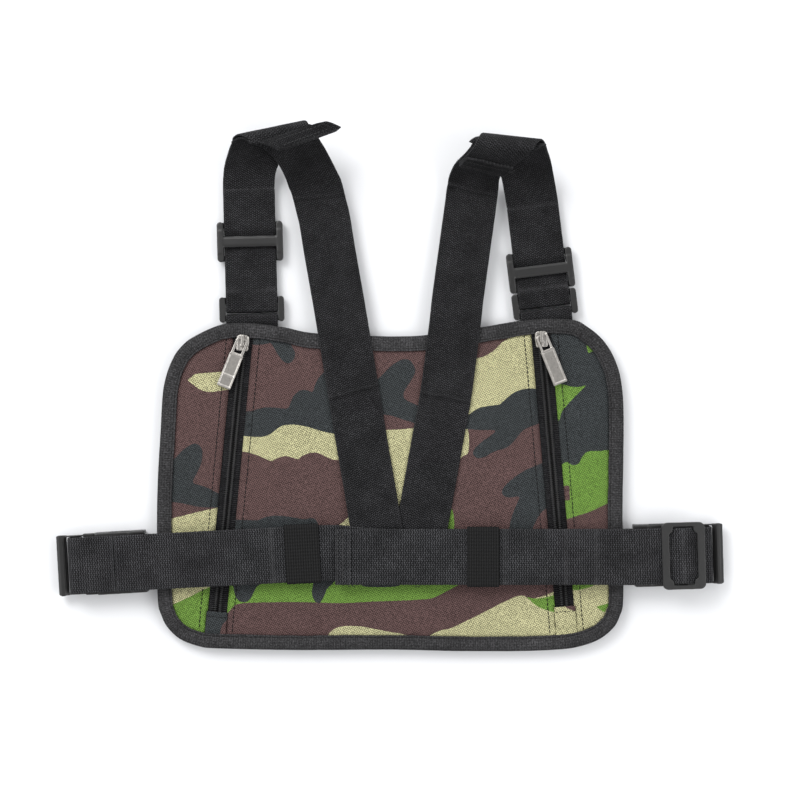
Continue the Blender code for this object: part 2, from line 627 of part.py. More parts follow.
# left: the end is turned back on top of the buckle and sewn to the belt's underside
RETURN_Z = 13.75 * MM
LOOP_U = 21.9 * MM              # where the wing's webbing hands over
place = buckle_frame("left")
side_path([(LOOP_U, zb)] + dive(zb, RETURN_Z) + [(24.5 * MM, RETURN_Z)], place,
          "belt_loop_left", WEBBING, BELT_W / 2)

# right: the returning layer is the belt itself, so the free tail lies on top, through the adjuster
place = buckle_frame("right")
ADJ_U = 33.0 * MM
ADJ_BUMP = 20.3 * MM            # middle of the tail where it rides over the adjuster's hidden bar
upper = [(15.0 * MM, zt)]
upper += ease(ADJ_U - 9.4 * MM, zt, ADJ_U - 3.0 * MM, ADJ_BUMP)
upper += ease(ADJ_U + 3.0 * MM, ADJ_BUMP, ADJ_U + 9.4 * MM, zt)
path = upper + dive(zt, zb) + [(15.0 * MM, zb)]
spine = [level(BELT_SPLIT_RIGHT + GAP, BELT_Y, zt), level(150 * MM, BELT_Y, zt)]
spine += [place @ Vector((u, 0, z)) for u, z in path]
spine += [level(150 * MM, BELT_Y, zb), level(BELT_SPLIT_RIGHT + GAP, BELT_Y, zb)]
square, turned = Vector((0, 1, 0)), place.to_3x3() @ Vector((0, 1, 0))
ribbon("belt_end_right", spine, [square] * 2 + [turned] * len(path) + [square] * 2, WEBBING, WEB, None, BELT_W / 2)

# belt adjuster: the tail goes under both outer bars and over the bar between them
at = place @ Matrix.Translation((ADJ_U, 0, 0))
low, high = 17.3 * MM, 21.3 * MM
adj = settle("belt_adjuster", block_mesh((-15.1 * MM, 19.7 * MM, low), (15.1 * MM, 23.1 * MM, high)), PLASTIC, at)
carve(adj, add=[
    block_mesh((-15.1 * MM, -23.1 * MM, low), (15.1 * MM, -19.7 * MM, high)),
    block_mesh((-15.0 * MM, -20.5 * MM, 18.95 * MM), (-9.5 * MM, 20.5 * MM, 21.2 * MM)),
    block_mesh((9.5 * MM, -20.5 * MM, 18.95 * MM), (15.0 * MM, 20.5 * MM, 21.2 * MM)),
    block_mesh((-2.5 * MM, -20.5 * MM, 17.35 * MM), (2.5 * MM, 20.5 * MM, 19.3 * MM)),
])


# elastic keepers: flat bands round the belt
def keeper(name, place, half_len, roof):
    half = BELT_W / 2 + GAP
    band = settle(name, block_mesh((-half_len, -half - KEEPER_T, BELT_Z - GAP - KEEPER_T),
                                   (half_len, half + KEEPER_T, roof + GAP + KEEPER_T)), ELASTIC, place)
    carve(band, cut=[block_mesh((-half_len - MM, -half, BELT_Z - GAP), (half_len + MM, half, roof + GAP))])


spot = on_wing(16 * MM)
keeper("keeper_left", frame_at(spot.x, spot.y, BELT_LEFT_TILT), 12.0 * MM, BELT_Z + WEB)
keeper("keeper_right", frame_at(64.8 * MM, BELT_Y, 0.0), 11.2 * MM, TAIL_Z + WEB)

# ================================================================ side-release buckles
for side in SIDES:
    place = buckle_frame(side)
    z0, z1 = BUCKLE_Z
    hb = BUCKLE_HALF
    # female half: a flat socket open at its mouth and at both side windows, with a bar for the pad's tab
    female = settle(f"buckle_female_{side}", block_mesh((0.3 * MM, -hb, z0), (FEMALE_L, hb, z1)), PLASTIC, place)
    carve(female, cut=[
        block_mesh((10.5 * MM, -19.0 * MM, z0 + 2 * MM), (FEMALE_L + 2 * MM, 19.0 * MM, z1 - 2 * MM)),
        block_mesh((11.5 * MM, -hb - MM, z0 + 2 * MM), (25.2 * MM, hb + MM, z1 - 2 * MM)),
        block_mesh((3.6 * MM, -18.6 * MM, z0 - MM), (8.5 * MM, 18.6 * MM, z1 + MM)),
        block_mesh((-MM, -18.6 * MM, z0 - MM), (4.0 * MM, 18.6 * MM, 4.4 * MM)),
        block_mesh((-MM, -18.6 * MM, 7.6 * MM), (4.0 * MM, 18.6 * MM, z1 + MM)),
    ])
    # male half: a base with two bars for the belt, and a tongue between the prongs
    base = settle(f"buckle_male_{side}",
                  block_mesh((35.4 * MM, -21.3 * MM, 4.6 * MM), (43.3 * MM, 21.3 * MM, 9.0 * MM)), PLASTIC, place)
    carve(base, add=[
        block_mesh((14.0 * MM, -4.5 * MM, 5.0 * MM), (36.0 * MM, 4.5 * MM, 8.6 * MM)),
        block_mesh((43.0 * MM, 19.6 * MM, 4.7 * MM), (60.5 * MM, 20.6 * MM, 8.9 * MM)),
        block_mesh((43.0 * MM, -20.6 * MM, 4.7 * MM), (60.5 * MM, -19.6 * MM, 8.9 * MM)),
        block_mesh((58.3 * MM, -20.5 * MM, 4.8 * MM), (62.3 * MM, 20.5 * MM, 8.8 * MM)),
        block_mesh((47.0 * MM, -20.0 * MM, 5.0 * MM), (51.8 * MM, 20.0 * MM, 8.6 * MM)),
    ], cut=[
        block_mesh((34.0 * MM, 12.2 * MM, 4 * MM), (39.2 * MM, 17.4 * MM, 10 * MM)),
        block_mesh((34.0 * MM, -17.4 * MM, 4 * MM), (39.2 * MM, -12.2 * MM, 10 * MM)),
    ])
    for hand, sign in (("front", 1), ("rear", -1)):
        # prong: a springy arm with a catch that fills the side window; its root is the pivot
        pivot = place @ Matrix.Translation((38.0 * MM, sign * 15.0 * MM, 0))
        outline = [(0.6, -1.9), (0.6, 1.9), (-12.5, 2.1), (-13.2, 5.2), (-17.0, 5.8), (-22.0, 5.3), (-25.4, 2.6),
                   (-26.0, 0.4), (-25.0, -1.4), (-13.0, -1.9)]
        prong = prism_mesh([(x * MM, y * MM * sign) for x, y in outline], 4.5 * MM, 9.1 * MM)
        settle(f"buckle_prong_{side}_{hand}", prong, PLASTIC, pivot)
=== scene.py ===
import math
import random

import bmesh
import bpy
import numpy as np
from mathutils import Matrix, Vector, noise
from mathutils.bvhtree import BVHTree
from mathutils.geometry import delaunay_2d_cdt


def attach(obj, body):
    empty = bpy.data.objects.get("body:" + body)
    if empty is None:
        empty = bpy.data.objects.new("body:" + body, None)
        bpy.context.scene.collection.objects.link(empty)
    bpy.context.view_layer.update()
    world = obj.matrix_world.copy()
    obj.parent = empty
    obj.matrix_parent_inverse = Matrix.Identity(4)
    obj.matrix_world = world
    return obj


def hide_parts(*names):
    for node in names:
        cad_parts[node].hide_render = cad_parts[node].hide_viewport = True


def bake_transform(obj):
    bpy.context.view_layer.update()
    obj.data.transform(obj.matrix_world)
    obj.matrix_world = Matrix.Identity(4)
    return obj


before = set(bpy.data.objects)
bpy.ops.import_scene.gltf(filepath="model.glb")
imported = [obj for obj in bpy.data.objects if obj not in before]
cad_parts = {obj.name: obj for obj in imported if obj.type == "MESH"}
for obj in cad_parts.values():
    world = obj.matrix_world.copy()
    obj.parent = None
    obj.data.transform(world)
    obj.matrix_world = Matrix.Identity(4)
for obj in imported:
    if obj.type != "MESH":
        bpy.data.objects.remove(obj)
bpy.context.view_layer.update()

MM = 0.001
SIDES = ("left", "right")
scene = bpy.context.scene
random.seed(7)

# ================================================================ camera, light, ground
cam_data = bpy.data.cameras.new("camera")
cam_data.lens = 85.0
cam_data.sensor_width = 36.0
cam_data.clip_start, cam_data.clip_end = 0.05, 20.0
CAM_AT = Vector((0.00735, -0.00805, 1.3222))
camera = bpy.data.objects.new("camera", cam_data)
camera.location = CAM_AT
scene.collection.objects.link(camera)
scene.camera = camera
scene.view_settings.view_transform = "Standard"


def area_light(name, at, aim, size, watts, colour=(1, 1, 1)):
    data = bpy.data.lights.new(name, "AREA")
    data.shape = "SQUARE"
    data.size = size
    data.energy = watts
    data.color = colour
    obj = bpy.data.objects.new(name, data)
    obj.location = at
    obj.rotation_mode = "QUATERNION"
    obj.rotation_quaternion = (Vector(aim) - Vector(at)).to_track_quat("-Z", "Y")
    scene.collection.objects.link(obj)
    return obj


area_light("key", (-0.75, 0.85, 1.15), (0, 0, 0), 0.75, 15.0)
area_light("fill", (0.95, -0.35, 1.1), (0, 0, 0), 0.8, 7.0)

world = bpy.data.worlds.new("studio")
scene.world = world
world.use_nodes = True
wn, wl = world.node_tree.nodes, world.node_tree.links
wn.clear()
w_out = wn.new("ShaderNodeOutputWorld")
w_bg = wn.new("ShaderNodeBackground")
w_ramp = wn.new("ShaderNodeValToRGB")
w_sep = wn.new("ShaderNodeSeparateXYZ")
w_co = wn.new("ShaderNodeTexCoord")
wl.new(w_co.outputs["Generated"], w_sep.inputs[0])
wl.new(w_sep.outputs["Z"], w_ramp.inputs[0])
wl.new(w_ramp.outputs["Color"], w_bg.inputs["Color"])
# the studio is brighter on the upper left than on the lower right
w_lean = wn.new("ShaderNodeVectorMath")
w_lean.operation = "DOT_PRODUCT"
w_lean.inputs[1].default_value = (-0.34, 0.46, 0.0)
w_sum = wn.new("ShaderNodeMath")
w_sum.operation = "ADD"
w_sum.inputs[1].default_value = 1.0
wl.new(w_co.outputs["Generated"], w_lean.inputs[0])
wl.new(w_lean.outputs["Value"], w_sum.inputs[0])
wl.new(w_sum.outputs[0], w_bg.inputs["Strength"])
wl.new(w_bg.outputs[0], w_out.inputs["Surface"])
ramp = w_ramp.color_ramp
ramp.interpolation = "EASE"
stops = [(0.0, 1.0), (0.35, 0.95), (0.62, 1.25), (0.86, 1.15), (0.965, 0.42), (1.0, 0.34)]
ramp.elements[0].position, ramp.elements[1].position = stops[0][0], stops[-1][0]
for (at, v), el in zip((stops[0], stops[-1]), (ramp.elements[0], ramp.elements[1])):
    el.color = (v, v, v, 1)
for at, v in stops[1:-1]:
    el = ramp.elements.new(at)
    el.color = (v, v, v, 1)


# ================================================================ shader building
class Nodes:
    """Short names for making shader nodes."""

    def __init__(self, name, rough=0.8, metal=0.0, spec=0.2):
        self.mat = bpy.data.materials.new(name)
        self.mat.use_nodes = True
        self.tree = self.mat.node_tree
        self.bsdf = self.tree.nodes["Principled BSDF"]
        self.bsdf.inputs["Roughness"].default_value = rough
        self.bsdf.inputs["Metallic"].default_value = metal
        self.bsdf.inputs["Specular IOR Level"].default_value = spec
        self.where = None

    def new(self, kind, **values):
        node = self.tree.nodes.new("ShaderNode" + kind)
        for k, v in values.items():
            setattr(node, k, v)
        return node

    def put(self, value, socket):
        if isinstance(value, bpy.types.NodeSocket):
            self.tree.links.new(value, socket)
        else:
            socket.default_value = value

    def math(self, op, a, b=0.0, c=0.0, clamp=False):
        node = self.new("Math", operation=op, use_clamp=clamp)
        for v, s in zip((a, b, c), node.inputs):
            self.put(v, s)
        return node.outputs[0]

    def mix(self, share, a, b):
        node = self.new("Mix", data_type="RGBA")
        self.put(share, node.inputs[0])
        self.put(a if isinstance(a, bpy.types.NodeSocket) else (*a, 1), node.inputs[6])
        self.put(b if isinstance(b, bpy.types.NodeSocket) else (*b, 1), node.inputs[7])
        return node.outputs[2]

    def place(self):
        if self.where is None:
            self.where = self.new("TexCoord").outputs["Object"]
        return self.where

    def weave(self):
        node = self.new("UVMap", uv_map="weave")
        sep = self.new("SeparateXYZ")
        self.tree.links.new(node.outputs[0], sep.inputs[0])
        return sep.outputs[0], sep.outputs[1]

    def xyz(self):
        sep = self.new("SeparateXYZ")
        self.tree.links.new(self.place(), sep.inputs[0])
        return sep.outputs

    def noise(self, scale, detail=2.0, rough=0.5, vector=None):
        node = self.new("TexNoise")
        node.inputs["Scale"].default_value = scale
        node.inputs["Detail"].default_value = detail
        node.inputs["Roughness"].default_value = rough
        self.tree.links.new(vector or self.place(), node.inputs["Vector"])
        return node.outputs["Fac"]

    def ramp(self, value, stops):
        node = self.new("ValToRGB")
        els = node.color_ramp.elements
        els[0].position, els[0].color = stops[0][0], (*stops[0][1], 1)
        els[1].position, els[1].color = stops[-1][0], (*stops[-1][1], 1)
        for at, c in stops[1:-1]:
            el = els.new(at)
            el.color = (*c, 1)
        self.put(value, node.inputs[0])
        return node.outputs["Color"]

    def bump(self, height, depth, strength=1.0, normal=None):
        node = self.new("Bump")
        node.inputs["Strength"].default_value = strength
        node.inputs["Distance"].default_value = depth
        self.put(height, node.inputs["Height"])
        if normal is not None:
            self.tree.links.new(normal, node.inputs["Normal"])
        return node.outputs["Normal"]

    def finish(self, colour=None, rough=None, normal=None):
        if colour is not None:
            self.put(colour, self.bsdf.inputs["Base Color"])
        if rough is not None:
            self.put(rough, self.bsdf.inputs["Roughness"])
        if normal is not None:
            self.put(normal, self.bsdf.inputs["Normal"])
        return self.mat


def grey(v, tint=(1, 1, 1)):
    return tuple(v * t for t in tint)


def wave(n, value, pitch, phase=0.0):
    """0 to 1 and back, once a pitch (metres)."""
    s = n.math("SINE", n.math("MULTIPLY_ADD", value, 2 * math.pi / pitch, phase))
    return n.math("MULTIPLY_ADD", s, 0.5, 0.5)


def oxford(name, colour, contrast=1.0, pitch=0.00138, spec=0.10, slant=0.55):
    """Coarse basket-woven nylon: crossed yarns, a soft diagonal, and uneven dye."""
    n = Nodes(name, 0.86, 0.0, spec)
    x, y, z = n.xyz()
    wobble = n.noise(150, 2, 0.6)
    xx = n.math("MULTIPLY_ADD", wobble, 0.0011, x)
    yy = n.math("MULTIPLY_ADD", wobble, -0.0009, y)
    warp = wave(n, n.math("ADD", xx, n.math("MULTIPLY", yy, slant)), pitch)
    weft = wave(n, n.math("SUBTRACT", yy, n.math("MULTIPLY", xx, slant * 0.8)), pitch * 0.94)
    cross = n.math("MULTIPLY", warp, weft)
    yarn = n.noise(1350, 2, 0.65)
    cloud = n.noise(24, 3, 0.55)
    lint = n.math("MULTIPLY", n.math("SUBTRACT", n.noise(620, 1, 0.5), 0.69), 6.0, clamp=True)
    height = n.math("ADD", n.math("MULTIPLY", cross, 0.8), n.math("MULTIPLY", yarn, 0.7))
    f = n.math("MULTIPLY_ADD", cross, 0.95 * contrast, 0.5 - 0.24 * contrast)
    f = n.math("ADD", f, n.math("MULTIPLY_ADD", yarn, 1.7 * contrast, -0.85 * contrast))
    f = n.math("ADD", f, n.math("MULTIPLY_ADD", cloud, 0.24, -0.12), clamp=True)
    tone = n.mix(f, tuple(c * 0.32 for c in colour), tuple(min(c * 1.70 + 0.003, 1.0) for c in colour))
    tone = n.mix(n.math("MULTIPLY", lint, 0.30), tone, tuple(min(c * 1.8 + 0.05, 1.0) for c in colour))
    rough = n.math("MULTIPLY_ADD", yarn, 0.16, 0.76)
    return n.finish(tone, rough, n.bump(height, 0.00034, 0.8))


def webbing(name, base, rib=0.00165, column=0.0027, spec=0.06, tint=(0.98, 0.98, 1.05), chevron=0.5, shine=1.0):
    """Heavy polypropylene webbing: ribs across the strap, broken into a herring-bone of narrow columns."""
    n = Nodes(name, 0.6, 0.0, spec)
    u, v = n.weave()
    wobble = n.math("MULTIPLY_ADD", n.noise(260, 2, 0.6), 0.0009, -0.00045)
    col = n.math("PINGPONG", n.math("DIVIDE", v, column), 0.5)                 # 0 to 0.5 across a column
    lean = n.math("MULTIPLY", col, column * 2 * chevron)
    ribs = wave(n, n.math("ADD", n.math("ADD", u, lean), wobble), rib)
    yarns = wave(n, n.math("ADD", v, n.math("MULTIPLY", wobble, 0.6)), column / 2.0)
    speck = n.noise(1300, 2, 0.65)
    bright = n.math("MULTIPLY_ADD", speck, 5.0, -2.15, clamp=True)
    height = n.math("ADD", n.math("MULTIPLY", ribs, 0.75), n.math("MULTIPLY", n.math("MULTIPLY", yarns, ribs), 0.45))
    height = n.math("ADD", height, n.math("MULTIPLY", speck, 0.7))
    worn = n.noise(55, 3, 0.6)
    light = n.math("MULTIPLY", n.math("MULTIPLY_ADD", ribs, 0.85, 0.06), n.math("MULTIPLY_ADD", yarns, 0.55, 0.35))
    light = n.math("MULTIPLY", light, n.math("MULTIPLY_ADD", bright, 0.72, 0.50))
    light = n.math("MULTIPLY", light, n.math("MULTIPLY_ADD", worn, 1.5, 0.25))
    lint = n.math("MULTIPLY", n.math("SUBTRACT", n.noise(520, 1, 0.5), 0.72), 6.0, clamp=True)
    tone = n.mix(n.math("MULTIPLY", light, 1.0, clamp=True), grey(base * 0.10, tint), grey(base * 11.5 * shine, tint))
    tone = n.mix(n.math("MULTIPLY", lint, 0.5), tone, grey(0.11, (1, 1, 1.05)))
    # painted highlight: convex fold crests and strap edges are lightened by pointiness, gated by the random yarn specks
    point = n.new("NewGeometry").outputs["Pointiness"]
    proud = n.math("MULTIPLY", n.math("SUBTRACT", point, 0.512), 12.0, clamp=True)
    proud = n.math("MULTIPLY", proud, n.math("MULTIPLY_ADD", bright, 0.6, 0.4), clamp=True)
    tone = n.mix(n.math("MULTIPLY", proud, 0.42), tone, grey(0.075, (1, 1, 1.05)))
    # painted shade: concave creases and folds are darkened by pointiness
    painted_crease_shade = n.math("MULTIPLY", n.math("SUBTRACT", 0.491, point), 14.0, clamp=True)
    tone = n.mix(n.math("MULTIPLY", painted_crease_shade, 0.75), tone, grey(0.0012, (1, 1, 1)))
    rough = n.math("MULTIPLY_ADD", speck, -0.2, 0.72)
    return n.finish(tone, rough, n.bump(height, 0.0006, 0.9))


def grosgrain(name, base):
    """Binding tape: fine ribs square to its edge, with lint."""
    n = Nodes(name, 0.85, 0.0, 0.08)
    u, v = n.weave()
    wobble = n.math("MULTIPLY_ADD", n.noise(240, 2, 0.6), 0.0009, 0.0)
    ribs = wave(n, n.math("ADD", u, wobble), 0.0017)
    rows = wave(n, v, 0.0021)
    fuzz = n.noise(1250, 3, 0.7)
    bright = n.math("MULTIPLY_ADD", fuzz, 4.4, -1.85, clamp=True)
    height = n.math("ADD", n.math("MULTIPLY", ribs, 0.4), n.math("MULTIPLY", rows, 0.4))
    height = n.math("ADD", height, n.math("MULTIPLY", fuzz, 0.8))
    worn = n.noise(34, 3, 0.6)
    light = n.math("MULTIPLY", n.math("ADD", n.math("MULTIPLY_ADD", ribs, 0.20, 0.27), n.math("MULTIPLY", rows, 0.10)), n.math("MULTIPLY_ADD", bright, 1.0, 0.28))
    light = n.math("MULTIPLY", light, n.math("MULTIPLY_ADD", worn, 1.3, 0.35), clamp=True)
    lint = n.math("MULTIPLY", n.math("SUBTRACT", n.noise(480, 1, 0.5), 0.70), 6.0, clamp=True)
    tone = n.mix(light, grey(base * 0.25), grey(base * 7.0, (1.0, 0.985, 1.03)))
    tone = n.mix(n.math("MULTIPLY", lint, 0.45), tone, grey(0.13, (1, 0.99, 1.03)))
    return n.finish(tone, n.math("MULTIPLY_ADD", fuzz, 0.1, 0.8), n.bump(height, 0.00045, 0.9))


def moulded(name, base, rough=0.46, spec=0.5):
    """Moulded acetal with a fine spark-eroded texture, scuffed on its proud places."""
    n = Nodes(name, rough, 0.0, spec)
    grain = n.noise(3600, 2, 0.6)
    scuff = n.noise(160, 4, 0.65)
    streak = n.noise(38, 2, 0.5)
    edge = n.new("NewGeometry").outputs["Pointiness"]
    proud = n.math("MULTIPLY", n.math("SUBTRACT", edge, 0.51), 9.0, clamp=True)
    proud = n.math("MULTIPLY", proud, n.math("MULTIPLY_ADD", scuff, 1.6, -0.3, clamp=True), clamp=True)
    tone = n.mix(n.math("MULTIPLY_ADD", scuff, 0.7, -0.1, clamp=True), grey(base * 0.75), grey(base * 1.35, (1.0, 1.0, 1.05)))
    tone = n.mix(n.math("MULTIPLY", proud, 0.55), tone, grey(base * 3.4, (1.0, 1.0, 1.04)))
    r = n.math("ADD", n.math("MULTIPLY_ADD", grain, 0.16, rough - 0.1), n.math("MULTIPLY", streak, 0.1))
    return n.finish(tone, r, n.bump(n.math("ADD", grain, n.math("MULTIPLY", scuff, 0.5)), 0.00009, 0.6))


def plated(name, colour=(0.66, 0.635, 0.60)):
    """Nickel plate over a die casting: fine polish lines, dull patches and small pits."""
    n = Nodes(name, 0.25, 1.0, 0.5)
    x, y, z = n.xyz()
    lines = n.new("TexNoise")
    lines.inputs["Scale"].default_value = 1.0
    lines.inputs["Detail"].default_value = 3.0
    stretch = n.new("CombineXYZ")
    n.put(n.math("MULTIPLY", x, 1500.0), stretch.inputs[0])
    n.put(n.math("MULTIPLY", y, 260.0), stretch.inputs[1])
    n.put(n.math("MULTIPLY", z, 1500.0), stretch.inputs[2])
    n.tree.links.new(stretch.outputs[0], lines.inputs["Vector"])
    patch = n.noise(330, 4, 0.6)
    pits = n.noise(1500, 2, 0.6)
    tone = n.mix(n.math("MULTIPLY_ADD", patch, 1.7, -0.45, clamp=True), tuple(c * 0.62 for c in colour), tuple(min(c * 1.2, 1) for c in colour))
    rough = n.math("ADD", n.math("MULTIPLY_ADD", patch, -0.3, 0.42), n.math("MULTIPLY", lines.outputs["Fac"], 0.1))
    height = n.math("ADD", lines.outputs["Fac"], n.math("MULTIPLY", pits, 0.9))
    return n.finish(tone, rough, n.bump(height, 0.00006, 0.55))


def yarn(name, base, spec=0.25):
    n = Nodes(name, 0.6, 0.0, spec)
    fuzz = n.noise(2400, 2, 0.6)
    return n.finish(n.mix(fuzz, grey(base * 0.6), grey(base * 1.9, (1, 1, 1.04))), None, n.bump(fuzz, 0.0001, 0.6))


def knitted(name, base):
    """Elastic: smooth knitted ribs along the band with fine cords across."""
    n = Nodes(name, 0.6, 0.0, 0.09)
    u, v = n.weave()
    cords = wave(n, v, 0.0017)
    cols = wave(n, u, 0.0023)
    fuzz = n.noise(1500, 2, 0.6)
    height = n.math("ADD", n.math("MULTIPLY", cords, 0.5), n.math("ADD", n.math("MULTIPLY", cols, 0.4), n.math("MULTIPLY", fuzz, 0.3)))
    tone = n.mix(n.math("MULTIPLY_ADD", cords, 0.5, n.math("MULTIPLY_ADD", fuzz, 0.6, -0.15), clamp=True), grey(base * 0.25), grey(base * 3.0, (1, 1, 1.03)))
    return n.finish(tone, n.math("MULTIPLY_ADD", fuzz, 0.15, 0.5), n.bump(height, 0.0005, 0.9))


# linear colours of the print and of the black parts
BROWN, TAN = (0.081, 0.048, 0.046), (0.364, 0.350, 0.199)
GREEN, SLATE = (0.106, 0.198, 0.036), (0.030, 0.034, 0.036)
CAMO = [oxford("camo_brown", BROWN, 1.95), oxford("camo_tan", TAN, 1.95), oxford("camo_green", GREEN, 1.5),
        oxford("camo_slate", SLATE, 2.3)]
BACKCLOTH = oxford("back_cloth", grey(0.012), 1.0, 0.0017, 0.1)
STRAP = webbing("strap_webbing", 0.0068)
HEM = webbing("hem_webbing", 0.0055, rib=0.0014)
BELT = webbing("belt_webbing", 0.0094, rib=0.0017, column=0.0028, tint=(0.98, 0.99, 1.06), chevron=0.3)
TAPE = grosgrain("binding_grosgrain", 0.0152)
ZIPCLOTH = webbing("zip_cloth", 0.006, rib=0.0014, column=0.0015, spec=0.05, chevron=0.25)
ELASTIC = knitted("elastic_band", 0.0062)
PLASTIC = moulded("black_acetal_moulded", 0.0085, 0.36, 0.5)
COIL = moulded("coil_nylon", 0.013, 0.40, 0.45)
NICKEL = plated("nickel_plate", (0.52, 0.495, 0.465))
THREAD = yarn("black_thread", 0.006, 0.1)
SEAM_THREAD = yarn("seam_thread", 0.030, 0.15)


# ================================================================ mesh building
def add_object(name, mesh, mats, smooth=None):
    for m in mats:
        mesh.materials.append(m)
    obj = bpy.data.objects.new(name, mesh)
    scene.collection.objects.link(obj)
    mesh.shade_smooth()
    if smooth:
        mesh.set_sharp_from_angle(angle=math.radians(smooth))
    return obj


def from_bm(name, bm, mats, smooth=None):
    bm.normal_update()
    mesh = bpy.data.meshes.new(name)
    bm.to_mesh(mesh)
    bm.free()
    return add_object(name, mesh, mats, smooth)


def frame_at(x, y, turn_deg, z=0.0):
    return Matrix.Translation((x, y, z)) @ Matrix.Rotation(math.radians(turn_deg), 4, "Z")


def catmull(points, closed=False, per=6):
    n, out = len(points), []
    for i in range(n if closed else n - 1):
        if closed:
            p0, p1, p2, p3 = (points[(i + k - 1) % n] for k in range(4))
        else:
            p0, p1 = points[max(i - 1, 0)], points[i]
            p2, p3 = points[i + 1], points[min(i + 2, n - 1)]
        for k in range(per):
            t = k / per
            out.append(0.5 * ((2 * p1) + (p2 - p0) * t + (2 * p0 - 5 * p1 + 4 * p2 - p3) * t * t
                              + (3 * p1 - p0 - 3 * p2 + p3) * t ** 3))
    if not closed:
        out.append(points[-1].copy())
    return out


def even(points, count, closed=False):
    pts = list(points) + ([points[0]] if closed else [])
    run = [0.0]
    for a, b in zip(pts, pts[1:]):
        run.append(run[-1] + (b - a).length)
    out, j = [], 0
    steps = count if closed else count - 1
    for i in range(count):
        want = run[-1] * i / steps
        while j < len(run) - 2 and run[j + 1] < want:
            j += 1
        span = run[j + 1] - run[j]
        out.append(pts[j].lerp(pts[j + 1], (want - run[j]) / span if span else 0.0))
    return out


def length_of(points):
    return sum((b - a).length for a, b in zip(points, points[1:]))


def soft(t):
    t = min(max(t, 0.0), 1.0)
    return t * t * (3 - 2 * t)


def lay(obj, body, *nodes, slot=None):
    """The piece rides on a body and stands for CAD nodes."""
    if body:
        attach(obj, body)
    if nodes:
        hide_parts(*nodes)
    return obj


def stitch_line(spots, out, length=2.5 * MM, gap=0.7 * MM, radius=0.26 * MM, lift=0.12 * MM, start=0.0, every=None):
    """Thread along spots [(point, normal)], as short bowed stitches added to the bmesh out."""
    pts = [p for p, _ in spots]
    run = [0.0]
    for a, b in zip(pts, pts[1:]):
        run.append(run[-1] + (b - a).length)

    def at(s):
        j = 0
        while j < len(run) - 2 and run[j + 1] < s:
            j += 1
        f = (s - run[j]) / max(run[j + 1] - run[j], 1e-9)
        f = min(max(f, 0.0), 1.0)
        return pts[j].lerp(pts[j + 1], f), spots[j][1].lerp(spots[j + 1][1], f).normalized()

    s = start
    while s + length < run[-1]:
        rows = []
        steps = 5
        for k in range(steps + 1):
            t = k / steps
            p, up = at(s + length * t)
            q, _ = at(min(s + length * t + 0.2 * MM, run[-1]))
            b, _ = at(max(s + length * t - 0.2 * MM, 0.0))
            way = (q - b).normalized()
            side = way.cross(up).normalized()
            bow = math.sin(math.pi * t)
            centre = p + up * (lift * (bow * 1.5 - 0.7))
            r = radius * (0.55 + 0.45 * bow)
            rows.append([out.verts.new(centre + side * (r * math.cos(a)) + up * (r * 0.8 * math.sin(a)))
                         for a in (2 * math.pi * m / 6 for m in range(6))])
        for a, b in zip(rows, rows[1:]):
            for m in range(6):
                out.faces.new((a[m], a[(m + 1) % 6], b[(m + 1) % 6], b[m]))
        out.faces.new(list(reversed(rows[0])))
        out.faces.new(rows[-1])
        s += length + gap


def wisp(out, pts, radius):
    """A loose thread end: a thin tapering tube through the points."""
    rows = []
    for i, p in enumerate(pts):
        way = (pts[min(i + 1, len(pts) - 1)] - pts[max(i - 1, 0)]).normalized()
        side = way.orthogonal().normalized()
        up = way.cross(side)
        r = radius * (1.0 - 0.5 * i / (len(pts) - 1))
        rows.append([out.verts.new(p + side * (r * math.cos(a)) + up * (r * math.sin(a))) for a in (2 * math.pi * m / 6 for m in range(6))])
    for a, b in zip(rows, rows[1:]):
        for m in range(6):
            out.faces.new((a[m], a[(m + 1) % 6], b[(m + 1) % 6], b[m]))
    out.faces.new(list(reversed(rows[0])))
    out.faces.new(rows[-1])


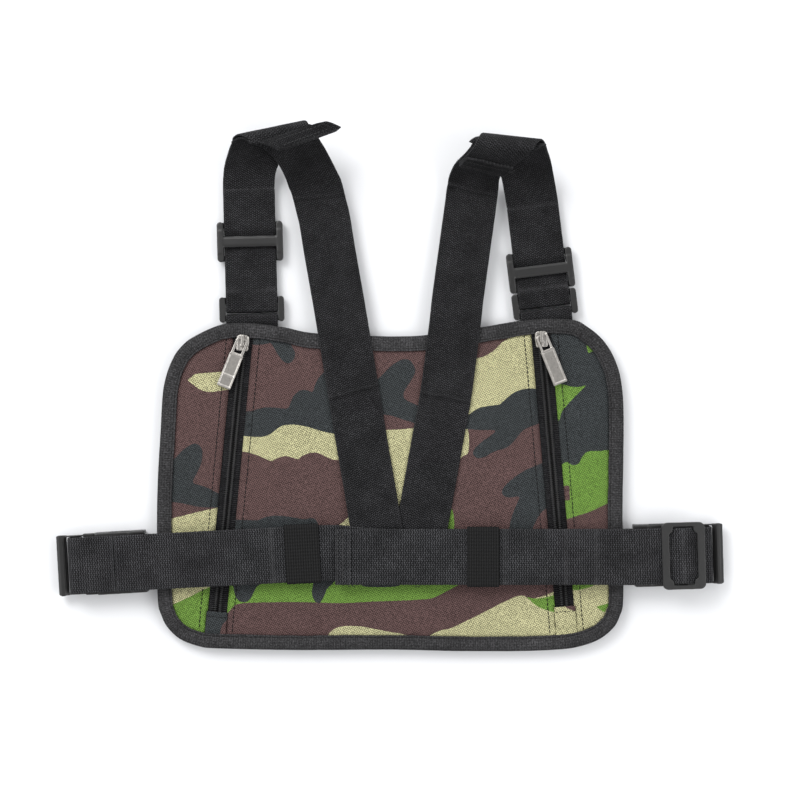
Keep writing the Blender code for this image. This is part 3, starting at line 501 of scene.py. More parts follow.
def strip(name, spine, widths, half, mat, thick=1.3 * MM, across=10, start=0.0, wav=0.10 * MM, edge_wobble=0.18 * MM,
          crown=0.10 * MM, seed=0.0, caps=True, turn=None, raise_by=None, step=2.2 * MM):
    """Webbing along a spine: rounded edges, a hint of waviness, and a weave map in metres."""
    # finer stations by arc length, with the width direction carried along
    run = [0.0]
    for a, b in zip(spine, spine[1:]):
        run.append(run[-1] + (b - a).length)
    count = max(int(run[-1] / step), 1) + 1
    marks = sorted(set([round(run[-1] * i / (count - 1), 7) for i in range(count)] + [round(r, 7) for r in run]))
    keep = [marks[0]]
    for m in marks[1:]:
        if m - keep[-1] > 0.25 * MM:
            keep.append(m)
    keep[-1] = run[-1]
    pts, ways, j = [], [], 0
    for m in keep:
        while j < len(run) - 2 and run[j + 1] < m:
            j += 1
        f = min(max((m - run[j]) / max(run[j + 1] - run[j], 1e-9), 0.0), 1.0)
        pts.append(spine[j].lerp(spine[j + 1], f))
        if isinstance(widths, list):
            ways.append(widths[j].lerp(widths[j + 1], f).normalized())
        else:
            ways.append(widths.normalized())
    n = len(pts)
    section = []                        # (across -1..1, height -1..1)
    tops = [-0.965 + 1.93 * k / across for k in range(across + 1)]
    tops = [tops[0], tops[0] + 0.04] + tops[1:-1] + [tops[-1] - 0.04, tops[-1]]
    section += [(a, 1.0) for a in tops]
    section += [(0.992, 0.62), (1.0, 0.0), (0.992, -0.62)]
    section += [(-a, -1.0) for a in tops]
    section += [(-0.992, -0.62), (-1.0, 0.0), (-0.992, 0.62)]
    bm = bmesh.new()
    uv = bm.loops.layers.uv.new("weave")
    rows = []
    for i in range(n):
        tangent = (pts[min(i + 1, n - 1)] - pts[max(i - 1, 0)]).normalized()
        w = ways[i]
        up = tangent.cross(w).normalized()
        slant = 1.0 / math.sqrt(max(1.0 - w.dot(tangent) ** 2, 0.6)) if 0 < i < n - 1 else 1.0
        s = start + keep[i]
        row = []
        for a, h in section:
            rim = noise.noise(Vector((s * 90, a * 3, seed))) * edge_wobble if abs(a) > 0.9 else 0.0
            ripple = noise.noise(Vector((s * 28, a * 1.4, seed + 5))) * wav * 2
            lift = crown * (1 - a * a) * (1 if h > 0 else -0.3)
            extra = raise_by(s, a) if raise_by else 0.0
            p = pts[i] + w * (a * half * slant + math.copysign(rim, a)) + up * (h * thick / 2 + ripple + lift + extra)
            row.append((bm.verts.new(p), s, a * half))
        rows.append(row)
    m = len(section)
    for a, b in zip(rows, rows[1:]):
        for k in range(m):
            q = (k + 1) % m
            face = bm.faces.new((a[k][0], a[q][0], b[q][0], b[k][0]))
            for loop, (v, s, t) in zip(face.loops, (a[k], a[q], b[q], b[k])):
                loop[uv].uv = (s, t)
    if caps:
        for row, flip in ((rows[0], True), (rows[-1], False)):
            ring = [r[0] for r in row]
            face = bm.faces.new(list(reversed(ring)) if flip else ring)
            order = list(reversed(row)) if flip else row
            for loop, (v, s, t) in zip(face.loops, order):
                loop[uv].uv = (s, t)
        bmesh.ops.triangulate(bm, faces=[f for f in bm.faces if len(f.verts) > 4])
    bmesh.ops.recalc_face_normals(bm, faces=bm.faces)
    return from_bm(name, bm, [mat], 50)


def in_frame(place, path, half_dir=Vector((0, 1, 0))):
    """Side-view points (run, height) of a local frame, as world points and a width direction."""
    return [place @ Vector((u, 0, z)) for u, z in path], place.to_3x3() @ half_dir


def arc(cu, cz, r, a0, a1, steps=8):
    return [(cu + r * math.cos(math.radians(a0 + (a1 - a0) * i / steps)),
             cz + r * math.sin(math.radians(a0 + (a1 - a0) * i / steps))) for i in range(steps + 1)]


def ease(u0, z0, u1, z1, steps=6):
    return [(u0 + (u1 - u0) * i / steps, z0 + (z1 - z0) * soft(i / steps)) for i in range(steps + 1)]


def shaped(node, name, voxel=0.55 * MM, rounds=5, mats=None, extra=None, ratio=None):
    """A CAD solid with its edges melted to moulding radii."""
    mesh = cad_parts[node].data.copy()
    if extra is not None:
        bm = bmesh.new()
        bm.from_mesh(mesh)
        extra(bm)
        bm.to_mesh(mesh)
        bm.free()
    obj = bpy.data.objects.new(name, mesh)
    scene.collection.objects.link(obj)
    mod = obj.modifiers.new("remesh", "REMESH")
    mod.mode = "VOXEL"
    mod.voxel_size = voxel
    mod = obj.modifiers.new("melt", "SMOOTH")
    mod.factor = 0.5
    mod.iterations = rounds
    if ratio:
        mod = obj.modifiers.new("thin", "DECIMATE")
        mod.ratio = ratio
    bpy.context.view_layer.update()
    graph = bpy.context.evaluated_depsgraph_get()
    whole = bpy.data.meshes.new_from_object(obj.evaluated_get(graph))
    obj.modifiers.clear()
    obj.data = whole
    whole.materials.clear()
    for m in mats or [PLASTIC]:
        whole.materials.append(m)
    whole.shade_smooth()
    return obj


# ================================================================ the pad's edge
PAD_EDGE = [
    (-117, 44.6), (-137.5, 35.4), (-147, 27), (-152, 18.5), (-155.5, 9),
    (-158, -4), (-159.5, -30), (-161.3, -61), (-162, -90), (-162, -122),
    (-161.3, -149), (-159, -158), (-155, -166), (-146, -174.5), (-133, -179.6),
    (-118, -181.2), (-62, -182.3), (0, -182), (49, -183), (91, -183),
    (119, -181.8), (133.5, -179.5), (146.5, -174.6), (156.5, -166.3),
    (160.8, -157.8), (162.8, -149), (163, -120), (162.4, -88), (162.9, -57),
    (163.2, -23), (162.6, -4), (160.7, 9.5), (157.8, 18.5), (153.6, 27),
    (147.3, 35.4), (138.5, 42.6), (129, 47.6), (110, 48.8), (90, 47),
    (63, 42.6), (27, 37.4), (7, 36.4), (-13, 36.7), (-53, 38.6),
    (-73, 42.6), (-98, 45.8),
]
EDGE = even(catmull([Vector((x, y, 0)) * MM for x, y in PAD_EDGE], True, 10), 480, True)
EDGE_N = []
for i, p in enumerate(EDGE):
    t = (EDGE[(i + 3) % len(EDGE)] - EDGE[i - 3]).normalized()
    EDGE_N.append(Vector((-t.y, t.x, 0)))


def inset_edge(depth, every=1):
    return [EDGE[i] + EDGE_N[i] * depth for i in range(0, len(EDGE), every)]


def inset_at(x, y):
    """How far a point lies in from the pad's edge."""
    return min(((x - p.x) ** 2 + (y - p.y) ** 2) for p in EDGE[::4]) ** 0.5


# ================================================================ zips: lines they run on
ZIP_TOP = {"left": (-101.7, 34.0), "right": (105.4, 36.6)}
ZIP_END = {"left": (-119.6, -155.0), "right": (121.7, -151.3)}
ZIP_HALF = 6.9 * MM


def zip_frame(side):
    top, end = (Vector((*p, 0)) * MM for p in (ZIP_TOP[side], ZIP_END[side]))
    way = (end - top).normalized()
    return top, way, Vector((-way.y, way.x, 0)), (end - top).length


ZIPS = {s: zip_frame(s) for s in SIDES}      # local Y points towards +X


def insets(points):
    """How far each (x, y) lies in from the pad's edge."""
    rim = np.array([(p.x, p.y) for p in EDGE])
    pts = np.array([(p[0], p[1]) for p in points], float).reshape(-1, 2)
    out = np.empty(len(pts))
    for i in range(0, len(pts), 2000):
        part = pts[i:i + 2000]
        out[i:i + 2000] = np.sqrt(((part[:, None, :] - rim[None, :, :]) ** 2).sum(2).min(1))
    return out


def inside(points, poly):
    """Even-odd test of many points against a polygon."""
    pts = np.array(points, float).reshape(-1, 2)
    hit = np.zeros(len(pts), bool)
    j = len(poly) - 1
    for i in range(len(poly)):
        xi, yi, xj, yj = poly[i][0], poly[i][1], poly[j][0], poly[j][1]
        if yi != yj:
            crosses = (yi > pts[:, 1]) != (yj > pts[:, 1])
            hit ^= crosses & (pts[:, 0] < (xj - xi) * (pts[:, 1] - yi) / (yj - yi) + xi)
        j = i
    return hit


def filling(poly, pitch, margin):
    """Points of a hexagonal grid inside a polygon, kept off its edge."""
    xs, ys = [p[0] for p in poly], [p[1] for p in poly]
    grid = []
    row, y = 0, min(ys) + pitch * 0.37
    while y < max(ys):
        x = min(xs) + (pitch / 2 if row % 2 else 0.0)
        while x < max(xs):
            grid.append((x, y))
            x += pitch
        y += pitch * 0.866
        row += 1
    grid = np.array(grid)
    grid = grid[inside(grid, poly)]
    edge = np.array(poly, float)
    fine = []
    for a, b in zip(edge, np.roll(edge, -1, 0)):
        steps = max(int(np.hypot(*(b - a)) / (pitch * 0.5)), 1)
        fine += [a + (b - a) * k / steps for k in range(steps)]
    fine = np.array(fine)
    keep = []
    for i in range(0, len(grid), 2000):
        part = grid[i:i + 2000]
        keep.append(np.sqrt(((part[:, None, :] - fine[None, :, :]) ** 2).sum(2).min(1)) > margin)
    return [tuple(p) for p in grid[np.concatenate(keep)]] if len(grid) else []


def zip_coords(side, x, y):
    """A point as (along, across) of a zip; across is positive towards +X."""
    top, way, over, length = ZIPS[side]
    d = Vector((x, y, 0)) - top
    return d.dot(way), d.dot(over)


# ================================================================ the padded core
CORE_TOP = 7.2 * MM
rim2 = [(p.x, p.y) for p in inset_edge(8.6 * MM, 3)]
grid2 = filling(rim2, 5.2 * MM, 3.0 * MM)
verts2 = [Vector(p) for p in rim2 + grid2]
co2, _, tris2, _, _, _ = delaunay_2d_cdt(verts2, [], [list(range(len(rim2)))], 1, 1e-7)
depth2 = insets(co2)


def zip_calm(x, y):
    """0 over a zip, 1 away from it."""
    best = 1.0
    for s in SIDES:
        along, across = zip_coords(s, x, y)
        best = min(best, soft((abs(across) / MM - 8.0) / 20.0))
    return best


bm = bmesh.new()
top_v, low_v = [], []
for p, d in zip(co2, depth2):
    fall = math.exp(-(d / MM - 8.6) / 2.2)
    top_v.append(bm.verts.new((p.x, p.y, CORE_TOP - 0.8 * MM * fall)))
for p, d in zip(co2, depth2):
    fall = math.exp(-(d / MM - 8.6) / 2.0)
    low_v.append(bm.verts.new((p.x, p.y, 0.25 * MM + 1.15 * MM * fall)))
for f in tris2:
    bm.faces.new([top_v[i] for i in f])
    bm.faces.new([low_v[i] for i in reversed(f)])
for e in [e for e in bm.edges if e.is_boundary and e.verts[0] in set(top_v[:len(co2)])]:
    a, b = e.verts
    ia, ib = top_v.index(a), top_v.index(b)
    bm.faces.new((b, a, low_v[ia], low_v[ib]))
bmesh.ops.recalc_face_normals(bm, faces=bm.faces)
core = from_bm("pad_core", bm, [BACKCLOTH], 60)
flat_z = np.array([v.co for v in core.data.vertices], float)
depth_all = np.concatenate([depth2, depth2])
# filled at ten times its size, where the cloth solver behaves, with its sewn rim held
held = core.vertex_groups.new(name="rim")
for i, d in enumerate(depth_all):
    w = 1.0 if d < 10.2 * MM else 0.0
    if w:
        held.add([i], w, "REPLACE")
core.data.transform(Matrix.Scale(10.0, 4))
mod = core.modifiers.new("fill", "CLOTH")
s = mod.settings
s.quality = 5
s.mass = 0.15
s.vertex_group_mass = "rim"
s.tension_stiffness = s.compression_stiffness = 12.0
s.shear_stiffness = 5.0
s.bending_stiffness = 0.4
s.shrink_min = -0.012
s.use_pressure = True
s.uniform_pressure_force = 9.0
s.effector_weights.gravity = 0.0
mod.collision_settings.use_collision = False
for f in range(1, 23):
    scene.frame_set(f)
graph = bpy.context.evaluated_depsgraph_get()
done = core.evaluated_get(graph).to_mesh()
filled = np.array([v.co for v in done.vertices], float) / 10.0
core.evaluated_get(graph).to_mesh_clear()
core.modifiers.clear()
core.data.transform(Matrix.Scale(0.1, 4))
scene.frame_set(1)
move = filled - flat_z
half = len(co2)
puff_t, puff_b = move[:half, 2], move[half:, 2]
top_cap, low_cap = max(float(np.percentile(np.abs(puff_t), 98)), 1e-6), max(float(np.percentile(np.abs(puff_b), 98)), 1e-6)
calm = np.array([zip_calm(p.x, p.y) for p in co2])
new = flat_z.copy()
new[:half, 2] += np.clip(puff_t / top_cap, -0.6, 1.0) * 1.15 * MM * calm
new[half:, 2] += np.clip(puff_b / low_cap, -1.0, 0.6) * 0.2 * MM
new[:, 2] = np.maximum(new[:, 2], 0.02 * MM)
core.data.vertices.foreach_set("co", new.astype(np.float32).ravel())
core.data.update()
core.data.shade_smooth()
sub = core.modifiers.new("smooth", "SUBSURF")
sub.levels = sub.render_levels = 1
bpy.context.view_layer.update()
graph = bpy.context.evaluated_depsgraph_get()
fine_core = bpy.data.meshes.new_from_object(core.evaluated_get(graph))
core.modifiers.clear()
core.vertex_groups.clear()
core.data = fine_core
lay(core, "harness", "back_panel", "foam_pad", "pocket_lining", slot="lining_cloth")
core_tree = BVHTree.FromPolygons([v.co.copy() for v in core.data.vertices],
                                 [tuple(p.vertices) for p in core.data.polygons])


def core_height(x, y):
    hit = core_tree.ray_cast(Vector((x, y, 0.05)), Vector((0, 0, -1)))[0]
    return hit.z if hit is not None and hit.z > 4 * MM else 6.3 * MM


# ================================================================ the printed front
def print_at(px, py, z=8.8):
    """A point of the print's own 0.7 mm grid on the cloth."""
    k = 1.0 - z / 1312.0
    x, y = (px - 389.5) * 0.70, (388.5 - py) * 0.70
    return ((7.35 + (x - 7.35) * k) * MM, (-8.05 + (y + 8.05) * k) * MM)


B_, T_, G_, S_ = 0, 1, 2, 3
PRINT = {
    "left": (B_, [
        (T_, [(188, 380), (192, 377), (194, 374.5), (200, 373.5), (212, 372.5), (226, 371.5), (242, 370), (242, 388.5), (232, 389), (222, 390.5), (210, 392), (201, 390), (195, 386)]),
        (S_, [(158, 470), (170, 462), (176, 457), (183, 450), (190, 445), (195, 443.5), (200, 446), (202.5, 451), (202, 460), (200, 467), (196.5, 474), (193.5, 480), (194, 483.5), (200, 485), (208, 488), (218, 493), (228, 497), (228, 506), (217, 507.5), (200, 507), (190, 505), (180, 503), (170, 502), (158, 502)]),
        (T_, [(158, 522), (170, 519), (186, 515), (200, 511.5), (218, 507.5), (230, 504), (230, 600), (215, 610), (190, 620), (158, 620)]),
        (G_, [(156, 612), (170, 606), (185, 599), (195, 594), (205, 589), (212, 586), (228, 580), (232, 655), (190, 660), (156, 655)]),
    ]),
    "centre": (B_, [
        (T_, [(230, 428), (260, 425), (300, 415), (330, 422), (356, 425), (358, 464), (352, 462), (340, 460), (333, 459.5), (327, 457), (321, 454), (315, 452.5), (308, 453.5), (302, 456), (298, 459), (291, 457), (285, 456), (279, 457.5), (274, 460), (271, 461), (265, 458.5), (258, 455.5), (250, 453), (243, 451.5), (230, 450)]),
        (S_, [(230, 413), (244, 411.5), (252, 411), (258, 409), (265, 407.5), (275, 407.5), (283, 408.5), (288, 408), (290.5, 403), (293, 397), (297, 392.5), (302, 390), (308, 390.5), (311.5, 392), (313.5, 390), (315, 385), (318, 379), (322, 374), (330, 368), (342, 364), (354, 376), (356, 436), (350, 436), (342, 435), (333, 433.5), (325, 432), (316, 429.5), (308, 427), (298, 425), (288, 424.8), (282, 426), (277, 429), (272, 433), (266, 436), (258, 437), (244, 436), (230, 434)]),
        (S_, [(246, 322), (248, 336), (251, 344), (262, 344.5), (268, 343.5), (270.5, 343), (274, 348), (278, 355), (283, 361), (288, 363.5), (292, 361.5), (295, 356.5), (294.5, 351), (292, 346.5), (291, 340), (292, 322)]),
        (G_, [(220, 565), (220, 616), (231, 609), (234, 606), (238, 604), (245, 603), (255, 602.5), (278, 602), (300, 602), (320, 602.5), (340, 603), (355, 602.5), (370, 601.5), (385, 601), (400, 600.5), (420, 599.5), (430, 598.5), (437, 596), (445, 592), (452, 588.5), (458, 585), (466, 581), (478, 572), (474, 560), (340, 558)]),
        (S_, [(222, 519), (232, 519.5), (250, 520), (258, 520), (263, 518), (270, 516), (280, 515.5), (295, 517.5), (303, 519), (311, 518), (315, 519), (318, 523), (319, 529), (326, 545), (338, 560), (343, 572), (337, 579), (331, 585), (327, 589), (325, 594), (322, 600), (319, 603), (315, 601), (312.5, 596), (312, 590), (313, 582), (306, 572), (288, 570), (270, 576), (262, 583), (257, 586.5), (254, 592), (251, 598), (247, 601.5), (242, 602), (238, 600), (235, 595), (233, 586), (226, 570), (222, 545)]),
        (S_, [(350, 568), (353, 575), (357, 581), (360, 584), (365, 586.5), (375, 587), (385, 587), (395, 586.5), (401, 584.5), (406, 581.5), (411, 575), (412, 566), (380, 560)]),
        (T_, [(328, 538), (337, 527), (343, 522), (348.5, 517), (356, 512), (366, 512), (366, 540)]),
        (G_, [(444, 504), (450, 508), (453, 512), (454, 528), (448, 532), (440, 524)]),
        (T_, [(322, 646), (329, 634), (333, 630), (338, 627.5), (345, 626), (355, 626), (365, 627), (375, 629), (385, 631), (393, 632.5), (402, 634), (416, 640), (410, 655), (330, 655)]),
        (S_, [(336, 404), (350, 400), (366, 388), (379, 378), (384, 373), (390, 367), (396, 362.5), (402, 359.5), (408, 359.5), (412, 362.5), (415, 368), (415, 373), (412, 379), (409, 384), (405, 390), (403.5, 395), (405, 399), (410, 402), (420, 407), (428, 416), (422, 425), (410, 421.5), (403, 419.5), (396, 417), (390, 415.5), (380, 414.5), (360, 416), (340, 412)]),
        (T_, [(352, 433), (368, 431), (386, 430), (400, 429.3), (416, 428), (440, 427), (462, 427), (468, 430), (468.5, 451), (463, 456), (457, 462), (440, 480), (415, 505), (395, 520), (360, 522)]),
        (T_, [(436, 362), (452, 360.5), (468, 359.5), (476, 358), (482, 357.3), (488, 354.5), (494, 350.5), (499, 345.5), (504, 341), (512, 337), (530, 329), (556, 322), (558, 395), (530, 398), (512, 404), (495, 414), (470, 424), (436, 424)]),
        (S_, [(438, 427), (455, 424), (465, 419), (469, 414.5), (474, 411), (479, 408), (485, 406.5), (492, 405.5), (499, 404.5), (503, 401.5), (508, 397), (514, 392.5), (520, 390), (528, 388.5), (536, 388.5), (556, 388), (560, 420), (541, 423), (534, 425.5), (527, 428), (522, 431.5), (518, 436), (514, 441), (509, 446), (503, 449), (497, 450.5), (491, 453), (486, 456.5), (480, 458), (476, 457.5), (473, 454), (474, 449.5), (478, 445), (484, 440), (490, 436), (495, 430.5), (480, 430), (462, 429), (440, 430)]),
        (S_, [(560, 456), (545, 462), (535, 466), (528, 469), (521, 472.5), (516, 476), (511, 480), (507, 483.5), (503, 488), (502, 493), (505, 496.5), (510, 497.5), (516, 496.5), (519, 497.5), (517, 503), (514, 510), (511, 519), (509, 530), (508, 542), (530, 542), (532, 530), (536, 521), (540, 514), (547, 508), (562, 502)]),
        (T_, [(418, 646), (430, 636), (440, 630.5), (450, 628.5), (460, 624), (470, 619), (480, 614), (490, 609), (500, 603.5), (508, 600), (514, 597), (520, 595.5), (525, 596), (529, 599), (540, 597), (566, 594), (568, 655), (420, 655)]),
        (G_, [(527, 597), (530, 600), (533, 603), (537, 606), (542, 608.5), (548, 610.5), (556, 612.5), (568, 615), (568, 590), (554, 595), (546, 597), (538, 598.5), (531, 598)]),
    ]),
    "right": (S_, [
        (G_, [(586, 338), (588, 343), (590.5, 347.5), (593, 349), (595.5, 351.5), (592, 351.5), (588.5, 353), (587, 348)]),
        (G_, [(540, 384), (551, 384), (563, 384.5), (571, 386.5), (579, 387), (585.5, 385.5), (580, 391.5), (574, 397.5), (568, 404), (563, 410), (561, 413.5), (558, 421), (544, 423)]),
        (B_, [(548, 500), (580, 490), (625, 480), (628, 575), (604, 578), (572, 575), (548, 577)]),
        (G_, [(548, 470), (560, 465), (567, 462), (571, 464.5), (575, 465), (579, 463), (581, 459), (583.5, 455), (587, 452), (592, 451), (600, 451), (628, 452), (628, 494), (615, 500), (600, 507), (590, 511.5), (580, 515), (570, 518), (563, 520.5), (548, 525)]),
        (B_, [(558, 485), (562, 486), (569, 486), (569.5, 493), (569.5, 500), (563, 500), (556, 500)]),
        (T_, [(552, 576), (572, 575), (598, 577), (628, 579), (628, 655), (552, 655)]),
        (G_, [(570, 573), (598, 575.5), (595, 583), (592, 586), (585, 588.5), (577, 590), (572, 588)]),
        (G_, [(597, 607), (602, 605), (613, 603), (607, 608), (604.5, 612), (600, 609.5)]),
    ]),
}


def cut_cloth(name, outline, base, blobs, height, pitch=3.1 * MM, thick=0.5 * MM):
    """Printed cloth: triangles that follow the printed patches, lifted to a height and given thickness."""
    verts, faces = [Vector(p) for p in outline], [list(range(len(outline)))]
    for _, poly in blobs:
        ring = catmull([Vector(print_at(*p)) for p in poly], True, 4)
        if sum(a.cross(b) for a, b in zip(ring, ring[1:] + ring[:1])) < 0:
            ring.reverse()                       # anticlockwise, as the triangulation expects
        faces.append(list(range(len(verts), len(verts) + len(ring))))
        verts += ring
    verts += [Vector(p) for p in filling(outline, pitch, pitch * 0.45)]
    co, _, tris, _, _, came = delaunay_2d_cdt(verts, [], faces, 1, 1e-6)
    kept = [(t, base if max(c) == 0 else blobs[max(c) - 1][0]) for t, c in zip(tris, came) if 0 in c]
    depth = insets(co)
    bm = bmesh.new()
    used = sorted({i for t, _ in kept for i in t})
    at = {i: bm.verts.new((co[i].x, co[i].y, height(co[i].x, co[i].y, depth[i]))) for i in used}
    area = 0.0
    for t, m in kept:
        f = bm.faces.new([at[i] for i in t])
        f.material_index = m
        a, b, c = (co[i] for i in t[:3])
        area += abs((b - a).cross(c - a)) / 2 if len(t) == 3 else f.calc_area()
    bmesh.ops.recalc_face_normals(bm, faces=bm.faces)
    if sum(f.normal.z for f in bm.faces) < 0:
        bmesh.ops.reverse_faces(bm, faces=bm.faces)
    obj = from_bm(name, bm, CAMO)
    mod = obj.modifiers.new("thick", "SOLIDIFY")
    mod.thickness = thick
    mod.offset = -1.0
    bpy.context.view_layer.update()
    graph = bpy.context.evaluated_depsgraph_get()
    whole = bpy.data.meshes.new_from_object(obj.evaluated_get(graph))
    obj.modifiers.clear()
    obj.data = whole
    whole.shade_smooth()
    xs, ys = [co[i].x for i in used], [co[i].y for i in used]
    return obj, area, (max(xs) - min(xs), max(ys) - min(ys))


STITCH_AT = 11.6 * MM          # how far the zip's top-stitching runs from its middle


def panel_height(x, y, d):
    z = core_height(x, y) + 1.85 * MM
    dm = d / MM
    z -= 0.30 * MM * math.exp(-max(dm - 10.5, 0) / 2.5)
    z += 0.22 * MM * noise.noise(Vector((x * 120, y * 120, 3.0))) * math.exp(-max(dm - 10.5, 0) / 9.0)
    z += 0.10 * MM * noise.noise(Vector((x * 45, y * 45, 9.0)))
    for s in SIDES:
        along, across = zip_coords(s, x, y)
        a = abs(across) / MM
        if a < 34:
            run = along / MM
            k = STITCH_AT / MM
            puck = noise.noise(Vector((run * 0.22, across / MM * 0.05, 4.0)))
            lip = soft((a - 6.6) / 0.9) * (1 - soft((a - (k - 1.4)) / 1.4))
            z += (0.42 + 0.16 * puck) * MM * lip
            z -= 0.50 * MM * math.exp(-((a - k) / 0.8) ** 2) * (0.75 + 0.25 * math.sin(run * 2 * math.pi / 3.2))
            z += 0.14 * MM * puck * math.exp(-max(a - k, 0) / 5.0)
            if a < 7.2:
                z -= 0.35 * MM * (1 - soft((a - 6.5) / 0.7))
    return min(z, 10.15 * MM)


def clip_line(poly, origin, normal):
    """Keep the part of a polygon on the side that normal points to."""
    out = []
    n = len(poly)
    for i in range(n):
        a, b = poly[i], poly[(i + 1) % n]
        da = (a[0] - origin[0]) * normal[0] + (a[1] - origin[1]) * normal[1]
        db = (b[0] - origin[0]) * normal[0] + (b[1] - origin[1]) * normal[1]
        if da >= 0:
            out.append(a)
        if (da >= 0) != (db >= 0):
            t = da / (da - db)
            out.append((a[0] + (b[0] - a[0]) * t, a[1] + (b[1] - a[1]) * t))
    return out


def refine(poly, step):
    out = []
    for a, b in zip(poly, poly[1:] + poly[:1]):
        n = max(int(math.hypot(b[0] - a[0], b[1] - a[1]) / step), 1)
        out += [(a[0] + (b[0] - a[0]) * k / n, a[1] + (b[1] - a[1]) * k / n) for k in range(n)]
    return out


rim_poly = [(p.x, p.y) for p in inset_edge(8.4 * MM, 2)]
panels = {}
for key in ("left", "centre", "right"):
    poly = list(rim_poly)
    for s in SIDES:
        top, way, over, length = ZIPS[s]
        for half in (-1, 1):
            keep = (key == s and half == (-1 if s == "left" else 1)) or (key == "centre" and half == (1 if s == "left" else -1))
            if keep:
                line = top + over * (half * 6.7 * MM)
                poly = clip_line(poly, (line.x, line.y), (over.x * half, over.y * half))
    poly = refine(poly, 2.6 * MM)
    base, blobs = PRINT[key]
    obj, area, flat = cut_cloth(f"front_{key}", poly, base, blobs, panel_height)
    lay(obj, "harness", f"front_panel_{key}", slot="camo_oxford")
    panels[key] = obj

front_trees = []
for obj in panels.values():
    front_trees.append(BVHTree.FromPolygons([v.co.copy() for v in obj.data.vertices],
                                            [tuple(p.vertices) for p in obj.data.polygons]))


def front_height(x, y):
    best = None
    for tree in front_trees:
        hit = tree.ray_cast(Vector((x, y, 0.05)), Vector((0, 0, -1)))[0]
        if hit is not None and (best is None or hit.z > best):
            best = hit.z
    return best if best is not None else 9.2 * MM


# the short cloth patches that close the zips' lower ends
PATCH = {
    "left": (S_, [(B_, [(221, 629), (226, 621), (236, 617), (240, 640), (222, 642)])]),
    "right": (T_, [(B_, [(564, 604), (569, 609), (582, 611), (580, 600), (566, 598)])]),
}
for s in SIDES:
    top, way, over, length = ZIPS[s]
    corners = [top + way * (length + 0.2 * MM) + over * (-7.3 * MM), top + way * (length + 22.0 * MM) + over * (-7.3 * MM),
               top + way * (length + 22.0 * MM) + over * (7.3 * MM), top + way * (length + 0.2 * MM) + over * (7.3 * MM)]
    poly = refine([(c.x, c.y) for c in corners], 1.4 * MM)

    def patch_height(x, y, d, s=s, length=length):
        along, across = zip_coords(s, x, y)
        a, r = abs(across) / MM, (along - length) / MM
        z = 10.25 * MM
        z += 0.30 * MM * soft(1 - abs(r - 1.6) / 2.0)
        z -= 0.32 * MM * math.exp(-((r - 3.8) / 0.7) ** 2)
        z -= 0.35 * MM * soft((a - 6.0) / 1.3)
        z += 0.14 * MM * noise.noise(Vector((x * 260, y * 260, 1.0)))
        over_rim = soft((r - 13.5) / 2.5)
        return min(z, 10.45 * MM) * (1 - over_rim) + 9.1 * MM * over_rim

    base, blobs = PATCH[s]
    obj, area, flat = cut_cloth(f"zip_patch_{s}", poly, base, blobs, patch_height, 1.3 * MM, 0.45 * MM)
    lay(obj, "harness", f"zip_end_patch_{s}", slot="camo_oxford")

# ================================================================ edge binding
STITCH_INSET = 8.9 * MM
T10 = 10.15


def binding_section():
    """(inset, height) in mm round the folded tape, outside first."""
    f = 10.6
    out = [(f, 0.55), (f - 0.25, 0.12), (f - 1.0, 0.0), (8.0, 0.02), (5.5, 0.0), (3.6, 0.1), (2.0, 0.55), (0.95, 1.4),
           (0.3, 2.7), (0.0, 4.2), (0.0, 6.1), (0.3, 7.6), (0.95, 8.85), (2.0, 9.65), (3.4, 10.05), (5.0, 10.12), (6.6, 10.02),
           (7.9, 9.80), (8.8, 9.42), (9.6, 9.78), (10.1, 9.86), (10.45, 9.74), (10.6, 9.45), (10.45, 9.15)]
    back = [(9.4, 9.0), (6.0, 9.05), (3.2, 8.9), (1.9, 8.2), (1.1, 6.6), (1.0, 5.0), (1.1, 3.6), (1.9, 2.1), (3.2, 1.3), (6.0, 1.05), (9.6, 1.0)]
    return out, out + back


out_part, section = binding_section()
bm = bmesh.new()
uv = bm.loops.layers.uv.new("weave")
rows, marks = [], []
run = 0.0
for i, p in enumerate(EDGE):
    if i:
        run += (p - EDGE[i - 1]).length
    marks.append(run)
    row = []
    for k, (ins, z) in enumerate(section):
        top_side = z > 5 and k < len(out_part)
        pull = math.exp(-((ins - 8.9) / 1.8) ** 2)
        ripple = noise.noise(Vector((run * 210, ins * 0.12, 2.0))) * 0.26 + noise.noise(Vector((run * 70, ins * 0.1, 6.0))) * 0.16
        beat = math.sin(run / MM * 2 * math.pi / 3.2) * 0.07 * pull
        dz = (ripple * (0.35 + 0.65 * math.exp(-((ins - 7.0) / 3.5) ** 2)) + beat) * (1 if top_side else -0.25)
        if k >= len(out_part) or z < 1.0:
            dz = min(max(dz, -0.0), 0.1) if z < 1 else 0.0
        di = noise.noise(Vector((run * 95, 0.4, 8.0))) * 0.30 if ins > 9.5 else noise.noise(Vector((run * 60, 2.4, 1.0))) * 0.16
        if ins < 0.5:
            di = max(di, 0.0)
        q = p + EDGE_N[i] * ((ins + di) * MM)
        row.append(bm.verts.new((q.x, q.y, max(min(z + dz, 10.3), 0.0) * MM)))
    rows.append(row)
spans = [0.0]
for (a, b), (c, d) in zip(section, section[1:]):
    spans.append(spans[-1] + math.hypot(c - a, d - b) * MM)
spans.append(spans[-1] + 8 * MM)
total_run = run + (EDGE[0] - EDGE[-1]).length
m = len(section)
for i in range(len(EDGE)):
    a, b = rows[i], rows[(i + 1) % len(EDGE)]
    ua, ub = marks[i], marks[i + 1] if i + 1 < len(EDGE) else total_run
    for k in range(m):
        q = (k + 1) % m
        face = bm.faces.new((a[k], b[k], b[q], a[q]))
        for loop, c in zip(face.loops, ((ua, spans[k]), (ub, spans[k]), (ub, spans[k + 1]), (ua, spans[k + 1]))):
            loop[uv].uv = c
bmesh.ops.recalc_face_normals(bm, faces=bm.faces)
